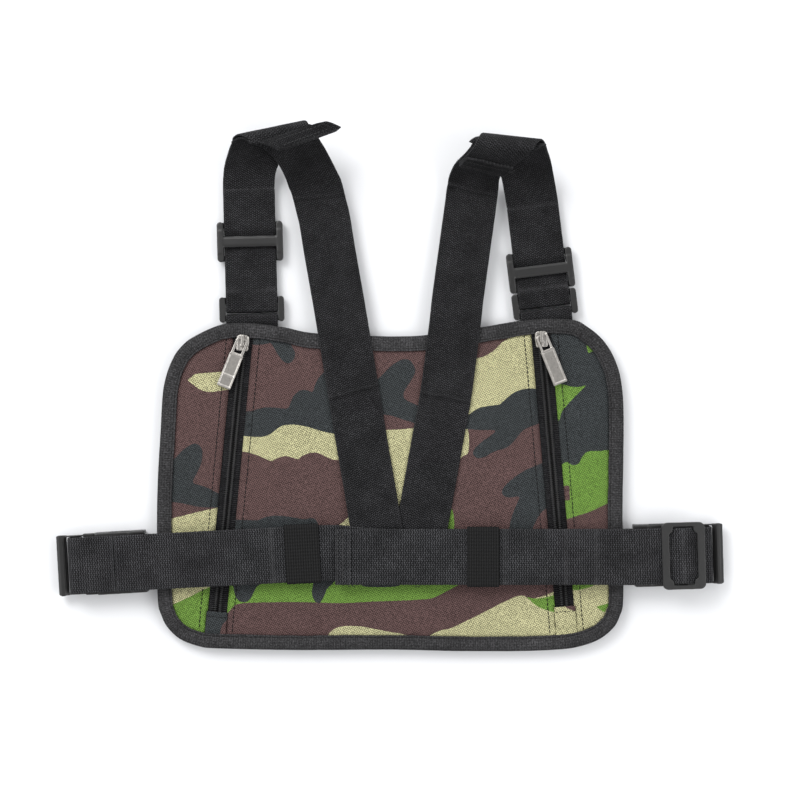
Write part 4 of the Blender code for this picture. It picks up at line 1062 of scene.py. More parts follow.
binding = lay(from_bm("binding", bm, [TAPE], 60), "harness", "edge_binding", slot="binding_tape")
binding_tree = BVHTree.FromPolygons([v.co.copy() for v in binding.data.vertices],
                                    [tuple(p.vertices) for p in binding.data.polygons])


def on_surface(trees, x, y, low=0.0):
    best = None
    for tree in trees:
        hit = tree.ray_cast(Vector((x, y, 0.06)), Vector((0, 0, -1)))[0]
        if hit is not None and (best is None or hit.z > best):
            best = hit.z
    return best if best is not None else low


UP = Vector((0, 0, 1))
bm = bmesh.new()
ring = inset_edge(STITCH_INSET)
spots = [(Vector((p.x, p.y, on_surface([binding_tree], p.x, p.y, 9.7 * MM))), UP) for p in ring + ring[:1]]
stitch_line(spots, bm, 2.4 * MM, 0.8 * MM, 0.24 * MM, 0.10 * MM)
low_spots = [(Vector((p.x, p.y, 0.06 * MM)), -UP) for p in ring + ring[:1]]
stitch_line(low_spots, bm, 2.4 * MM, 0.8 * MM, 0.14 * MM, 0.02 * MM)
lay(from_bm("binding_stitches", bm, [THREAD]), "harness", slot="binding_tape")

# top-stitching beside the zips
bm = bmesh.new()
for s in SIDES:
    top, way, over, length = ZIPS[s]
    for half in (-1, 1):
        pts = []
        v = -2.0 * MM
        while v < length + 20.0 * MM:
            wob = noise.noise(Vector((v * 60, half, 5))) * 0.25 * MM
            p = top + way * v + over * (half * (STITCH_AT + wob))
            if inset_at(p.x, p.y) > 9.5 * MM:
                pts.append((Vector((p.x, p.y, front_height(p.x, p.y))), UP))
            v += 1.0 * MM
        stitch_line(pts, bm, 2.6 * MM, 0.55 * MM, 0.38 * MM, 0.16 * MM)
    # across the end patch
    pts = []
    for k in range(15):
        p = top + way * (length + 3.8 * MM) + over * ((-6.8 + 13.6 * k / 14) * MM)
        pts.append((Vector((p.x, p.y, 10.02 * MM)), UP))
    stitch_line(pts, bm, 2.2 * MM, 0.6 * MM, 0.26 * MM, 0.14 * MM)
lay(from_bm("front_stitches", bm, [THREAD]), "harness", slot="camo_oxford")

# ================================================================ zips
for s in SIDES:
    top, way, over, length = ZIPS[s]
    above = 7.2 * MM if s == "left" else 6.2 * MM
    below = length + 21.0 * MM
    outer = -1 if s == "left" else 1
    for half, sign in (("inner", -outer), ("outer", outer)):
        side_dir = over * sign
        mid = side_dir * (5.55 * MM) + UP * (7.75 * MM)
        tape = strip(f"tape_{s}_{half}", [top - way * above + mid, top + way * below + mid],
                     over * 1.0, 4.93 * MM, ZIPCLOTH, thick=0.5 * MM, across=8, wav=0.05 * MM, edge_wobble=0.03 * MM,
                     crown=0.0, seed=sign + 3.0)
        lay(tape, "harness", f"zip_tape_{s}_{half}", slot="zip_tape")
        bm = bmesh.new()
        pitch = 1.5 * MM
        v = -0.2 * MM + (pitch / 2 if sign > 0 else 0.0)
        end = below - 10.0 * MM
        while v < end:
            # one bight of the coil: a bead that leans over the tape and hooks inwards
            rings = 6
            rows = []
            for r in range(rings + 1):
                t = r / rings
                across_mm = 0.62 + 2.25 * t
                lift = 8.95 + 0.55 * math.sin(math.pi * min(max(t * 0.9 + 0.12, 0), 1))
                fat = 0.41 * math.sqrt(max(1 - (2 * t - 1) ** 4, 0.05))
                lean = 0.35 * (t - 0.5)
                c = top + way * (v + lean * MM) + side_dir * (across_mm * MM) + UP * (lift * MM)
                rows.append([bm.verts.new(c + way * (fat * MM * math.cos(g)) + UP * (fat * 1.05 * MM * math.sin(g)))
                             for g in (2 * math.pi * q / 8 for q in range(8))])
            for a, b in zip(rows, rows[1:]):
                for q in range(8):
                    bm.faces.new((a[q], a[(q + 1) % 8], b[(q + 1) % 8], b[q]))
            bm.faces.new(list(reversed(rows[0])))
            bm.faces.new(rows[-1])
            v += pitch
        # the cord that runs through the coil
        for across_mm, z_mm, r_mm in ((1.75, 8.55, 0.35),):
            line = [top + way * w + side_dir * (across_mm * MM) + UP * (z_mm * MM) for w in (-0.6 * MM, end)]
            loops = [[bm.verts.new(p + side_dir * (r_mm * MM * math.cos(g)) + UP * (r_mm * MM * math.sin(g)))
                      for g in (2 * math.pi * q / 8 for q in range(8))] for p in line]
            for q in range(8):
                bm.faces.new((loops[0][q], loops[0][(q + 1) % 8], loops[1][(q + 1) % 8], loops[1][q]))
            bm.faces.new(list(reversed(loops[0])))
            bm.faces.new(loops[1])
        bmesh.ops.recalc_face_normals(bm, faces=bm.faces)
        lay(from_bm(f"coil_{s}_{half}", bm, [COIL]), "harness", f"zip_coil_{s}_{half}", slot="zip_coil")


def add_box(bm, lo, hi):
    made = bmesh.ops.create_cube(bm, size=1.0)["verts"]
    size, mid = Vector(hi) - Vector(lo), (Vector(hi) + Vector(lo)) / 2
    bmesh.ops.scale(bm, vec=size, verts=made)
    bmesh.ops.translate(bm, vec=mid, verts=made)


def add_drum(bm, centre, radius, half, axis="Z", segments=24):
    turn = Matrix.Identity(4) if axis == "Z" else Matrix.Rotation(math.pi / 2, 4, "X" if axis == "Y" else "Y")
    made = bmesh.ops.create_cone(bm, cap_ends=True, segments=segments, radius1=radius, radius2=radius, depth=2 * half,
                                 matrix=Matrix.Translation(centre) @ turn)
    return made["verts"]


# ================================================================ sliders and pulls
SWING = {"left": -112.0, "right": -68.0}       # which way each pull lies, degrees
for s in SIDES:
    top, way, over, length = ZIPS[s]
    turn = math.atan2(way.y, way.x)
    place = Matrix.Translation(top) @ Matrix.Rotation(turn, 4, "Z")

    def crown(bm, place=place):
        """The crown's cheeks, a rounded nose and the ridge down the plate."""
        extra = bmesh.new()
        add_box(extra, Vector((-3.0, -1.25, 11.0)) * MM, Vector((-1.9, 1.25, 12.6)) * MM)
        add_box(extra, Vector((3.9, -1.25, 11.0)) * MM, Vector((5.1, 1.25, 12.6)) * MM)
        add_box(extra, Vector((5.0, -0.5, 11.0)) * MM, Vector((7.6, 0.5, 11.75)) * MM)
        add_box(extra, Vector((-1.6, 3.6, 11.0)) * MM, Vector((7.0, 4.3, 11.6)) * MM)
        add_box(extra, Vector((-1.6, -4.3, 11.0)) * MM, Vector((7.0, -3.6, 11.6)) * MM)
        extra.transform(place)
        spare = bpy.data.meshes.new("spare")
        extra.to_mesh(spare)
        extra.free()
        bm.from_mesh(spare)
        bpy.data.meshes.remove(spare)

    lay(shaped(f"zip_slider_{s}", f"slider_{s}", 0.27 * MM, 3, [NICKEL], crown), f"zip_slider_{s}", f"zip_slider_{s}", slot="nickel")

    hold = Matrix.Translation(top + UP * (12.3 * MM)) @ Matrix.Rotation(math.radians(SWING[s]), 4, "Z")

    def face_of_pull(bm, hold=hold, s=s):
        """A raised rim round the tab and round its slot."""
        extra = bmesh.new()
        if s == "left":
            add_box(extra, Vector((11.4, -4.9, 0.3)) * MM, Vector((35.6, -4.1, 0.95)) * MM)
            add_box(extra, Vector((11.4, 4.1, 0.3)) * MM, Vector((35.6, 4.9, 0.95)) * MM)
            add_box(extra, Vector((11.2, -4.9, 0.3)) * MM, Vector((12.4, 4.9, 1.0)) * MM)
            add_box(extra, Vector((34.6, -4.9, 0.3)) * MM, Vector((35.7, 4.9, 0.95)) * MM)
            add_box(extra, Vector((26.5, -4.4, 0.3)) * MM, Vector((27.3, 4.4, 0.75)) * MM)
        else:
            add_box(extra, Vector((11.0, -4.95, 0.3)) * MM, Vector((35.8, -3.9, 0.95)) * MM)
            add_box(extra, Vector((11.0, 3.9, 0.3)) * MM, Vector((35.8, 4.95, 0.95)) * MM)
            add_box(extra, Vector((34.6, -4.9, 0.3)) * MM, Vector((35.8, 4.9, 0.95)) * MM)
            add_box(extra, Vector((10.4, -4.5, 0.3)) * MM, Vector((11.6, 4.5, 0.95)) * MM)
            add_box(extra, Vector((0.0, -4.2, 0.2)) * MM, Vector((11.0, -3.2, 0.85)) * MM)
            add_box(extra, Vector((0.0, 3.2, 0.2)) * MM, Vector((11.0, 4.2, 0.85)) * MM)
        extra.transform(hold)
        spare = bpy.data.meshes.new("spare")
        extra.to_mesh(spare)
        extra.free()
        bm.from_mesh(spare)
        bpy.data.meshes.remove(spare)

    lay(shaped(f"zip_pull_{s}", f"pull_{s}", 0.27 * MM, 3, [NICKEL], face_of_pull), f"zip_pull_{s}", f"zip_pull_{s}", slot="nickel")

# ================================================================ webbing tabs
MAIN_Z, UNDER_Z, WEB = 5.95 * MM, 1.65 * MM, 1.3 * MM
SHOULDER_W, BELT_W = 35.7 * MM, 38.6 * MM
BELT_Z, TAIL_Z = 15.7 * MM, 17.3 * MM
zb, zt = BELT_Z + WEB / 2, TAIL_Z + WEB / 2
BELT_Y = -116.4 * MM
RING_PIVOT = {"left": (-95.8, 48.2), "right": (109.1, 52.0)}
LEG_LEAN = {"left": 1.5, "right": 7.0}
LEG_SPLIT = {"left": 91.0 * MM, "right": 76.0 * MM}
ADJUSTER_AT = {"left": 54.3 * MM, "right": 30.6 * MM}
BUCKLE_AT = {"left": (-168.6, -119.9), "right": (169.9, -116.4)}
BUCKLE_TURN = {"left": 183.3, "right": 1.6}


def tab_path(depth, bar_u, rise, reach):
    low, high = 3.35 * MM, 4.75 * MM
    r = (rise - low) / 2
    pts = [(-depth, low), (-depth / 2, low), (0.0, low), (bar_u, low)]
    pts += arc(bar_u + reach, low + r, r, -90, 90, 12)
    pts += ease(bar_u - 0.6 * MM, rise, -3.6 * MM, high, 8)
    pts += [(-depth, high)]
    return pts


for s in SIDES:
    x, y = (v * MM for v in RING_PIVOT[s])
    edge_y = 45.7 * MM if s == "left" else 47.9 * MM
    out = y - edge_y
    place = frame_at(x, y, 90.0 + LEG_LEAN[s]) @ Matrix.Translation((-out, 0, 0))
    spine, wide = in_frame(place, tab_path(8.6 * MM, out, 7.45 * MM, 1.3 * MM))
    lay(strip(f"ring_tab_{s}", spine, wide * -1, 17.85 * MM, STRAP, thick=1.1 * MM, wav=0.05 * MM, seed=11.0), "harness",
        f"shoulder_tab_{s}", slot="black_webbing")
    bx, by = (v * MM for v in BUCKLE_AT[s])
    edge_x = -162.0 * MM if s == "left" else 163.0 * MM
    out = abs(bx - edge_x)
    place = frame_at(bx, by, BUCKLE_TURN[s]) @ Matrix.Translation((-out, 0, 0))
    spine, wide = in_frame(place, tab_path(8.6 * MM, out + 2.0 * MM, 8.65 * MM, 1.4 * MM))
    lay(strip(f"buckle_tab_{s}", spine, wide * -1, 17.85 * MM, STRAP, thick=1.1 * MM, wav=0.05 * MM, seed=12.0), "harness",
        f"side_tab_{s}", slot="black_webbing")

# ================================================================ shoulder straps: the looped legs
for s in SIDES:
    x, y = (v * MM for v in RING_PIVOT[s])
    leg = frame_at(x, y, 90.0 + LEG_LEAN[s])
    split, a = LEG_SPLIT[s], ADJUSTER_AT[s]
    dip = 3.65 * MM
    end_u = 20.2 * MM if s == "left" else 18.0 * MM
    fold = [(end_u, UNDER_Z), (13 * MM, UNDER_Z)] + arc(7.4 * MM, (MAIN_Z + UNDER_Z) / 2, (MAIN_Z - UNDER_Z) / 2, 270, 90, 16)
    fold += [(13 * MM, MAIN_Z), (end_u, MAIN_Z)]
    name = f"leg_{s}"
    node = f"shoulder_loop_{s}"
    at_s = 0.0

    def leg_piece(part, path, bodies=None, start_s=0.0, seed=21.0):
        spine, wide = in_frame(leg, path)
        obj = strip(f"{name}_{part}", spine, wide, SHOULDER_W / 2, STRAP, start=start_s, seed=seed, step=2.0 * MM)
        if bodies:
            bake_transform(obj)
            lay(obj, None, node, slot="black_webbing")
        else:
            lay(obj, "harness", node, slot="black_webbing")
        return start_s + length_of(spine)

    ring_body, adj_body = f"strap_ring_{s}", f"shoulder_adjuster_{s}"
    at_s = leg_piece("fold", fold, (ring_body, "harness", 8 * MM, end_u - 0.2 * MM))
    rise = ease(a - 9.6 * MM, MAIN_Z, a - 4.2 * MM, dip, 8)
    if s == "left":
        lower = [(end_u, MAIN_Z), (32 * MM, MAIN_Z)] + rise + [(a, dip)]
        at_s = leg_piece("lower", lower, ("harness", adj_body, end_u + 0.4 * MM, 43.0 * MM), at_s)
    else:
        lower = [(end_u, MAIN_Z)] + rise + [(a, dip)]
        at_s = leg_piece("lower", lower, ("harness", adj_body, end_u + 0.2 * MM, 20.8 * MM), at_s)
    upper = [(a, dip)] + ease(a + 4.2 * MM, dip, a + 9.6 * MM, MAIN_Z, 8) + [(split * 0.5 + (a + 9.6 * MM) * 0.5, MAIN_Z), (split, MAIN_Z)]
    leg_piece("upper", upper, (adj_body, "harness", a + 10 * MM, split - 2 * MM), at_s)
    leg_piece("under", [(split, UNDER_Z), (a, UNDER_Z), (end_u, UNDER_Z)], None, 0.0, 25.0)

# ================================================================ shoulder straps above the split
LEFT_ARCH = [
    ((-97.0, 150.5, 9.5), (1.0, 0.02, 0.0)), ((-93.5, 159.8, 16.5), (0.995, 0.07, 0.0)),
    ((-89.6, 167.0, 23.5), (0.99, 0.12, 0.0)), ((-85.2, 172.6, 30.0), (0.985, 0.17, 0.0)),
    ((-79.6, 175.2, 35.2), (0.98, 0.20, 0.04)), ((-73.4, 173.0, 37.6), (0.97, 0.22, 0.12)),
    ((-67.2, 168.0, 34.8), (0.94, 0.25, 0.22)), ((-61.4, 161.2, 27.5), (0.91, 0.26, 0.30)),
    ((-56.4, 152.5, 17.8), (0.92, 0.25, 0.28)), ((-52.8, 144.5, 12.0), (0.96, 0.20, 0.12)),
    ((-50.2, 138.0, 10.0), (0.98, 0.18, 0.03)), ((-47.2, 126.0, 9.5), (0.985, 0.173, 0.0)),
    ((-45.2, 118.0, 9.5), (0.985, 0.173, 0.0)), ((-41.8, 97.0, 9.6), (0.985, 0.172, 0.0)),
    ((-35.6, 62.0, 10.8), (0.987, 0.160, 0.0)), ((-32.6, 44.0, 11.25), (0.988, 0.155, 0.0)),
    ((-25.6, 1.8, 11.25), (0.988, 0.155, 0.0)), ((-19.4, -36.0, 11.25), (0.988, 0.155, 0.0)),
    ((-14.2, -66.0, 12.4), (0.988, 0.155, 0.0)), ((-11.2, -84.0, 13.3), (0.988, 0.155, 0.0)),
    ((-8.6, -100.0, 14.7), (0.988, 0.155, 0.0)), ((-6.3, -117.3, 14.75), (0.988, 0.155, 0.0)),
    ((-4.5, -130.5, 14.75), (0.988, 0.155, 0.0)),
]
RIGHT_ARCH = [
    ((96.6, 143.5, 11.0), (0.992, 0.10, 0.0)), ((93.8, 152.5, 19.5), (0.995, 0.05, 0.0)),
    ((90.6, 159.4, 28.0), (0.998, 0.0, 0.0)), ((87.4, 164.6, 36.5), (0.995, -0.05, 0.0)),
    ((83.0, 167.4, 44.0), (0.99, -0.10, -0.04)), ((77.2, 163.8, 48.8), (0.975, -0.13, -0.16)),
    ((70.8, 158.6, 43.0), (0.93, -0.15, -0.32)), ((65.4, 154.6, 33.0), (0.89, -0.155, -0.42)),
    ((61.4, 151.2, 22.0), (0.88, -0.157, -0.42)), ((59.2, 146.6, 14.0), (0.92, -0.14, -0.30)),
    ((58.0, 139.6, 10.2), (0.985, -0.13, -0.06)), ((56.6, 129.0, 9.5), (0.991, -0.130, 0.0)),
    ((52.2, 97.0, 9.6), (0.992, -0.128, 0.0)), ((47.4, 62.0, 10.8), (0.992, -0.128, 0.0)),
    ((45.4, 44.0, 11.25), (0.991, -0.132, 0.0)), ((39.3, -3.2, 11.25), (0.989, -0.150, 0.0)),
    ((33.4, -36.0, 11.25), (0.984, -0.175, 0.0)), ((25.6, -79.5, 11.25), (0.984, -0.175, 0.0)),
    ((22.0, -99.0, 12.9), (0.984, -0.175, 0.0)), ((18.9, -117.3, 13.15), (0.984, -0.175, 0.0)),
    ((16.5, -130.5, 13.15), (0.984, -0.175, 0.0)),
]


def resample(points, ways, step):
    run = [0.0]
    for a, b in zip(points, points[1:]):
        run.append(run[-1] + (b - a).length)
    count = max(int(run[-1] / step), 2) + 1
    outp, outw, j = [], [], 0
    for i in range(count):
        want = run[-1] * i / (count - 1)
        while j < len(run) - 2 and run[j + 1] < want:
            j += 1
        f = (want - run[j]) / (run[j + 1] - run[j])
        outp.append(points[j].lerp(points[j + 1], f))
        outw.append(ways[j].lerp(ways[j + 1], f).normalized())
    return outp, outw


def strap_curve(side, step=3.6 * MM):
    x, y = (v * MM for v in RING_PIVOT[side])
    leg = frame_at(x, y, 90.0 + LEG_LEAN[side])
    along = leg.to_3x3() @ Vector((1, 0, 0))
    across = leg.to_3x3() @ Vector((0, -1, 0))
    start = leg @ Vector((LEG_SPLIT[side] + 0.02 * MM, 0, MAIN_Z))
    keys = [(start, across)] + [(Vector(p) * MM, Vector(q)) for p, q in (LEFT_ARCH if side == "left" else RIGHT_ARCH)]
    before = (start - along * 0.02, across)
    pts = catmull([k[0] for k in [before] + keys], False, 8)[8:]
    ways = catmull([k[1] for k in [before] + keys], False, 8)[8:]
    return resample(pts, ways, step)


TAIL_END = {"left": 62.0 * MM, "right": 98.0 * MM}
TOPS = {}
for s in SIDES:
    spine, wide = strap_curve(s)
    total = length_of(spine)
    # creases cross each strap where it was folded for packing
    folds = ((135.0, 2.8, 1.5), (1.8, -4.3, 1.5)) if s == "left" else ((141.0, 3.0, 1.9), (-3.2, 1.9, 1.4))
    found, run = [], 0.0
    for i in range(1, len(spine)):
        run += (spine[i] - spine[i - 1]).length
        for y_mm, lean, size in folds:
            if spine[i - 1].y > y_mm * MM >= spine[i].y:
                found.append((run, lean * MM, size))

    def creased(run_s, a, found=found):
        lift = 0.0
        for at, lean, size in found:
            d = (run_s - at - a * lean * 0.5) / MM
            lift += size * (0.75 * math.exp(-(d / 1.15) ** 2) - 0.26 * math.exp(-((d - 2.8) / 1.8) ** 2) - 0.12 * math.exp(-((d + 4.5) / 3.0) ** 2))
        lift += 0.22 * noise.noise(Vector((run_s * 34, a * 0.8, 2.0)))
        return lift * MM

    obj = strip(f"strap_{s}", spine, wide, SHOULDER_W / 2, STRAP, seed=31.0, step=1.0 * MM, raise_by=creased, across=14)
    lay(obj, "harness", f"shoulder_main_{s}", slot="black_webbing")
    TOPS[s] = BVHTree.FromPolygons([v.co.copy() for v in obj.data.vertices], [tuple(p.vertices) for p in obj.data.polygons])
    out_pts, out_ways = [], []
    run, n = 0.0, len(spine)
    for i in range(n):
        if i:
            run += (spine[i] - spine[i - 1]).length
        if run > TAIL_END[s]:
            break
        tangent = (spine[min(i + 1, n - 1)] - spine[max(i - 1, 0)]).normalized()
        up = tangent.cross(wide[i]).normalized()
        one, two = spine[i] - spine[max(i - 1, 0)], spine[min(i + 1, n - 1)] - spine[i]
        bend = one.angle(two) if 0 < i < n - 1 else 0.0
        near = (2.2 if s == "left" else 2.7) * MM / math.cos(bend / 2)
        far = MAIN_Z - UNDER_Z
        gap = far + (near - far) * soft(run / (30 * MM))
        out_pts.append(spine[i] + up * gap)
        out_ways.append(wide[i])
    if s == "left":
        out_pts += [Vector(p) * MM for p in ((-66.5, 173.0, 41.5), (-59.0, 170.8, 45.0), (-52.4, 167.4, 46.5))]
        out_ways += [Vector((0.95, 0.27, 0.14)), Vector((0.94, 0.31, 0.06)), Vector((0.94, 0.34, 0.0))]
    tail_len = length_of(out_pts)
    fine_p, fine_w = resample(catmull(out_pts, False, 3), catmull(out_ways, False, 3), 2.0 * MM)
    tail_len = length_of(fine_p)

    obj = strip(f"strap_tail_{s}", fine_p, fine_w, SHOULDER_W / 2, STRAP, seed=37.0, step=2.0 * MM, across=12)
    lay(obj, "harness", f"shoulder_tail_{s}", slot="black_webbing")

    # the tail's hem: its end is folded back over the outside and sewn down with two rows
    run, first_i = tail_len, len(fine_p) - 1
    while first_i > 0 and tail_len - run < 12.5 * MM:
        run -= (fine_p[first_i] - fine_p[first_i - 1]).length
        first_i -= 1
    hem_p, hem_w, hem_up = [], [], []
    for i in range(first_i, len(fine_p)):
        tangent = (fine_p[min(i + 1, len(fine_p) - 1)] - fine_p[i - 1]).normalized()
        up = tangent.cross(fine_w[i]).normalized()
        hem_up.append(up)
        hem_p.append(fine_p[i] + up * (1.75 * MM))
        hem_w.append(fine_w[i])
    obj = strip(f"strap_hem_{s}", hem_p, hem_w, SHOULDER_W / 2 - 0.1 * MM, HEM, thick=1.5 * MM, seed=39.0, step=1.6 * MM, across=12,
                edge_wobble=0.35 * MM, wav=0.16 * MM)
    lay(obj, "harness", f"shoulder_tail_{s}", slot="black_webbing")
    bm = bmesh.new()
    hem_len = length_of(hem_p)
    for back in (3.4 * MM, 9.6 * MM):
        want, run, j = hem_len - back, 0.0, 1
        while j < len(hem_p) - 1 and run + (hem_p[j] - hem_p[j - 1]).length < want:
            run += (hem_p[j] - hem_p[j - 1]).length
            j += 1
        f = (want - run) / max((hem_p[j] - hem_p[j - 1]).length, 1e-9)
        base = hem_p[j - 1].lerp(hem_p[j], min(max(f, 0.0), 1.0))
        w, up = hem_w[j].normalized(), hem_up[j]
        pts = [(base + w * ((-0.93 + 1.86 * k / 16) * SHOULDER_W / 2) + up * (0.86 * MM + 0.1 * MM * (1 - (2 * k / 16 - 1) ** 2)), up)
               for k in range(17)]
        stitch_line(pts, bm, 2.1 * MM, 0.6 * MM, 0.26 * MM, 0.14 * MM)
    # frayed thread ends at the hem's corners
    for sign in (-1, 1):
        for k in range(3):
            root = hem_p[1 + k] + hem_w[1 + k].normalized() * (sign * (SHOULDER_W / 2 - 1.0 * MM)) + hem_up[1 + k] * (0.7 * MM)
            out_dir = hem_w[1 + k].normalized() * sign
            pts = [root + out_dir * (q * (0.9 + 0.25 * k) * MM) + Vector((0, 0.35 * math.sin(q * 1.3 + k * 2 + sign) * MM, 0.2 * q * MM)) for q in range(5)]
            wisp(bm, pts, 0.17 * MM)
    lay(from_bm(f"strap_hem_stitches_{s}", bm, [SEAM_THREAD]), "harness", slot="black_webbing")

# ================================================================ belt
kink = Vector((-44.0, -113.6, 0)) * MM
tilt = math.radians(2.97)
wing = Vector((-math.cos(tilt), -math.sin(tilt), 0))
wing_y = Vector((math.sin(tilt), -math.cos(tilt), 0))
LEFT_SPLIT, RIGHT_SPLIT = 146.0 * MM, 122.0 * MM


def on_wing(d, z=zb):
    return Vector((kink.x + wing.x * d, kink.y + wing.y * d, z))


def level(x, y, z=zb):
    return Vector((x, y, z))


def flat_piece(name, spine, widths, node, blend=None, start=0.0, seed=41.0, **more):
    obj = strip(name, spine, widths, BELT_W / 2, BELT, start=start, seed=seed, **more)
    if blend:
        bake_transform(obj)
        lay(obj, None, node, slot="black_webbing")
    else:
        lay(obj, "harness", node, slot="black_webbing")
    return start + length_of(spine)


Y1 = Vector((0, 1, 0))
CUT_L = on_wing(37.0 * MM)                     # the wing bends from here outwards
s0 = flat_piece("belt_wing_left", [on_wing(LEFT_SPLIT), on_wing(110 * MM), on_wing(70 * MM), CUT_L], wing_y * -1, "belt_main",
                ("harness", "buckle_male_left", (-0.080, -0.1155, zb), (-0.185, -0.121, zb)))
mid = [CUT_L, on_wing(20 * MM), on_wing(5 * MM), level(-36 * MM, -113.7 * MM), level(-26 * MM, -114.7 * MM), level(-14 * MM, -115.7 * MM),
       level(0, BELT_Y), level(40 * MM, BELT_Y), level(80 * MM, BELT_Y)]
s0 = flat_piece("belt_middle", mid, [wing_y * -1] * 3 + [Y1] * 6, "belt_main", None, s0)
flat_piece("belt_wing_right", [level(80 * MM, BELT_Y), level(100 * MM, BELT_Y), level(RIGHT_SPLIT, BELT_Y)], Y1, "belt_main",
           ("harness", "buckle_male_right", (0.080, BELT_Y, zb), (0.135, BELT_Y, zb)), s0)

s1 = flat_piece("belt_tail_middle", [level(-37.0 * MM, BELT_Y, zt), level(0, BELT_Y, zt), level(40 * MM, BELT_Y, zt), level(80 * MM, BELT_Y, zt)],
                Y1, "belt_tail", None, 0.0, 47.0, crown=0.16 * MM)
s1 = flat_piece("belt_tail_right", [level(80 * MM, BELT_Y, zt), level(100 * MM, BELT_Y, zt), level(RIGHT_SPLIT, BELT_Y, zt)],
                Y1, "belt_tail", ("harness", "buckle_male_right", (0.080, BELT_Y, zt), (0.135, BELT_Y, zt)), s1, 47.0)


def buckle_frame(side):
    x, y = (v * MM for v in BUCKLE_AT[side])
    return frame_at(x, y, BUCKLE_TURN[side])


def dive(top_z, back_z):
    r = 5.6 * MM
    pts = arc(53.3 * MM - r, top_z - r, r, 90, 0, 10)
    pts += arc(50.8 * MM, 5.6 * MM, 2.5 * MM, 0, -90, 7)
    pts += arc(47.6 * MM, 5.6 * MM, 2.5 * MM, -90, -180, 7)
    r = 3.6 * MM
    pts += arc(45.1 * MM - r, back_z - r, r, 0, 90, 8)
    return pts


place = buckle_frame("left")
spine, wide = in_frame(place, [(21.9 * MM, zb), (36 * MM, zb)] + dive(zb, 13.75 * MM) + [(34 * MM, 13.75 * MM), (24.5 * MM, 13.75 * MM)])
obj = strip("belt_return_left", spine, wide, BELT_W / 2, BELT, start=s0, seed=43.0, step=2.0 * MM)
lay(obj, "buckle_male_left", "belt_loop_left", slot="black_webbing")

place = buckle_frame("right")
ADJ_U, BUMP = 33.0 * MM, 20.3 * MM
square, turned = Vector((0, 1, 0)), place.to_3x3() @ Vector((0, 1, 0))


def right_piece(name, pts, widths, bodies=None, start=0.0, body="buckle_male_right", seed=47.0):
    obj = strip(name, pts, widths, BELT_W / 2, BELT, start=start, seed=seed, step=2.0 * MM)
    if bodies:
        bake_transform(obj)
        lay(obj, None, "belt_end_right", slot="black_webbing")
    else:
        lay(obj, body, "belt_end_right", slot="black_webbing")
    return start + length_of(pts)


def at_u(path):
    return [place @ Vector((u, 0, z)) for u, z in path]


first = [level(RIGHT_SPLIT, BELT_Y, zt), level(136 * MM, BELT_Y, zt)]
joined = first + [level(143 * MM, BELT_Y - 0.0 * MM, zt)]
obj = strip("belt_tail_outer", joined, [square] * 3, BELT_W / 2, BELT, start=s1, seed=47.0, step=2.0 * MM, wav=0.05 * MM, crown=0.02 * MM)
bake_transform(obj)
lay(obj, None, "belt_end_right", slot="black_webbing")
s2 = s1 + length_of(joined)
up_path = at_u([(-5 * MM, zt), (10 * MM, zt)] + ease(ADJ_U - 9.4 * MM, zt, ADJ_U - 3.0 * MM, BUMP, 8) + [(ADJ_U, BUMP)])
s2 = right_piece("belt_tail_rise", [level(143 * MM, BELT_Y, zt)] + up_path, [square] + [turned] * len(up_path),
                 ("buckle_male_right", "belt_adjuster", -25 * MM, 20 * MM), s2)
down = at_u([(ADJ_U, BUMP)] + ease(ADJ_U + 3.0 * MM, BUMP, ADJ_U + 9.4 * MM, zt, 8) + [(47.7 * MM, zt)])
s2 = right_piece("belt_tail_fall", down, [turned] * len(down), ("belt_adjuster", "buckle_male_right", 42.5 * MM, 47.5 * MM), s2)
round_ = at_u(dive(zt, zb) + [(30 * MM, zb), (5 * MM, zb)]) + [level(143 * MM, BELT_Y, zb)]
s2 = right_piece("belt_turn_right", round_, [turned] * (len(round_) - 1) + [square], None, s2)
obj = strip("belt_under_right", [level(143 * MM, BELT_Y, zb), level(132 * MM, BELT_Y, zb), level(RIGHT_SPLIT, BELT_Y, zb)], [square] * 3,
            BELT_W / 2, BELT, start=s2, seed=49.0, step=2.0 * MM)
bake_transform(obj)
lay(obj, None, "belt_end_right", slot="black_webbing")


# ================================================================ elastic keepers
def keeper(name, node, place, half_len, roof, room=0.0):
    lo, hi = BELT_Z - 0.3 * MM - 0.5 * MM, roof + 0.3 * MM + 0.5 * MM
    half = BELT_W / 2 + 0.30 * MM + 0.45 * MM + room
    r = 0.8 * MM
    ring = []
    for cy, cz, a0 in ((half - r, hi - r, 90), (half - r, lo + r, 0), (-half + r, lo + r, -90), (-half + r, hi - r, -180)):
        for k in range(6):
            a = math.radians(a0 - 90 * k / 5)
            ring.append((cy + r * math.cos(a), cz + r * math.sin(a)))
    # start and end in the middle of the underside
    start = next(i for i in range(len(ring)) if ring[i][1] < (lo + hi) / 2 and ring[(i + 1) % len(ring)][0] < 0)
    ring = ring[start + 1:] + ring[:start + 1]
    pts = [(0.0, lo)] + ring + [(0.0, lo)]
    full = [(pts[0])]
    for a, b in zip(pts, pts[1:]):
        n = max(int(math.hypot(b[0] - a[0], b[1] - a[1]) / (2.0 * MM)), 1)
        full += [(a[0] + (b[0] - a[0]) * k / n, a[1] + (b[1] - a[1]) * k / n) for k in range(1, n + 1)]
    spine = [place @ Vector((0, y, z)) for y, z in full]
    wide = place.to_3x3() @ Vector((1, 0, 0))
    tangent = spine[len(spine) // 2 + 1] - spine[len(spine) // 2]
    mid_up = tangent.cross(wide)
    if mid_up.z < 0:
        wide = wide * -1
    obj = strip(name, spine, wide, half_len, ELASTIC, thick=0.95 * MM, across=10, wav=0.07 * MM, edge_wobble=0.22 * MM,
                crown=0.0, seed=51.0, step=1.5 * MM)
    return lay(obj, node, node, slot="elastic")


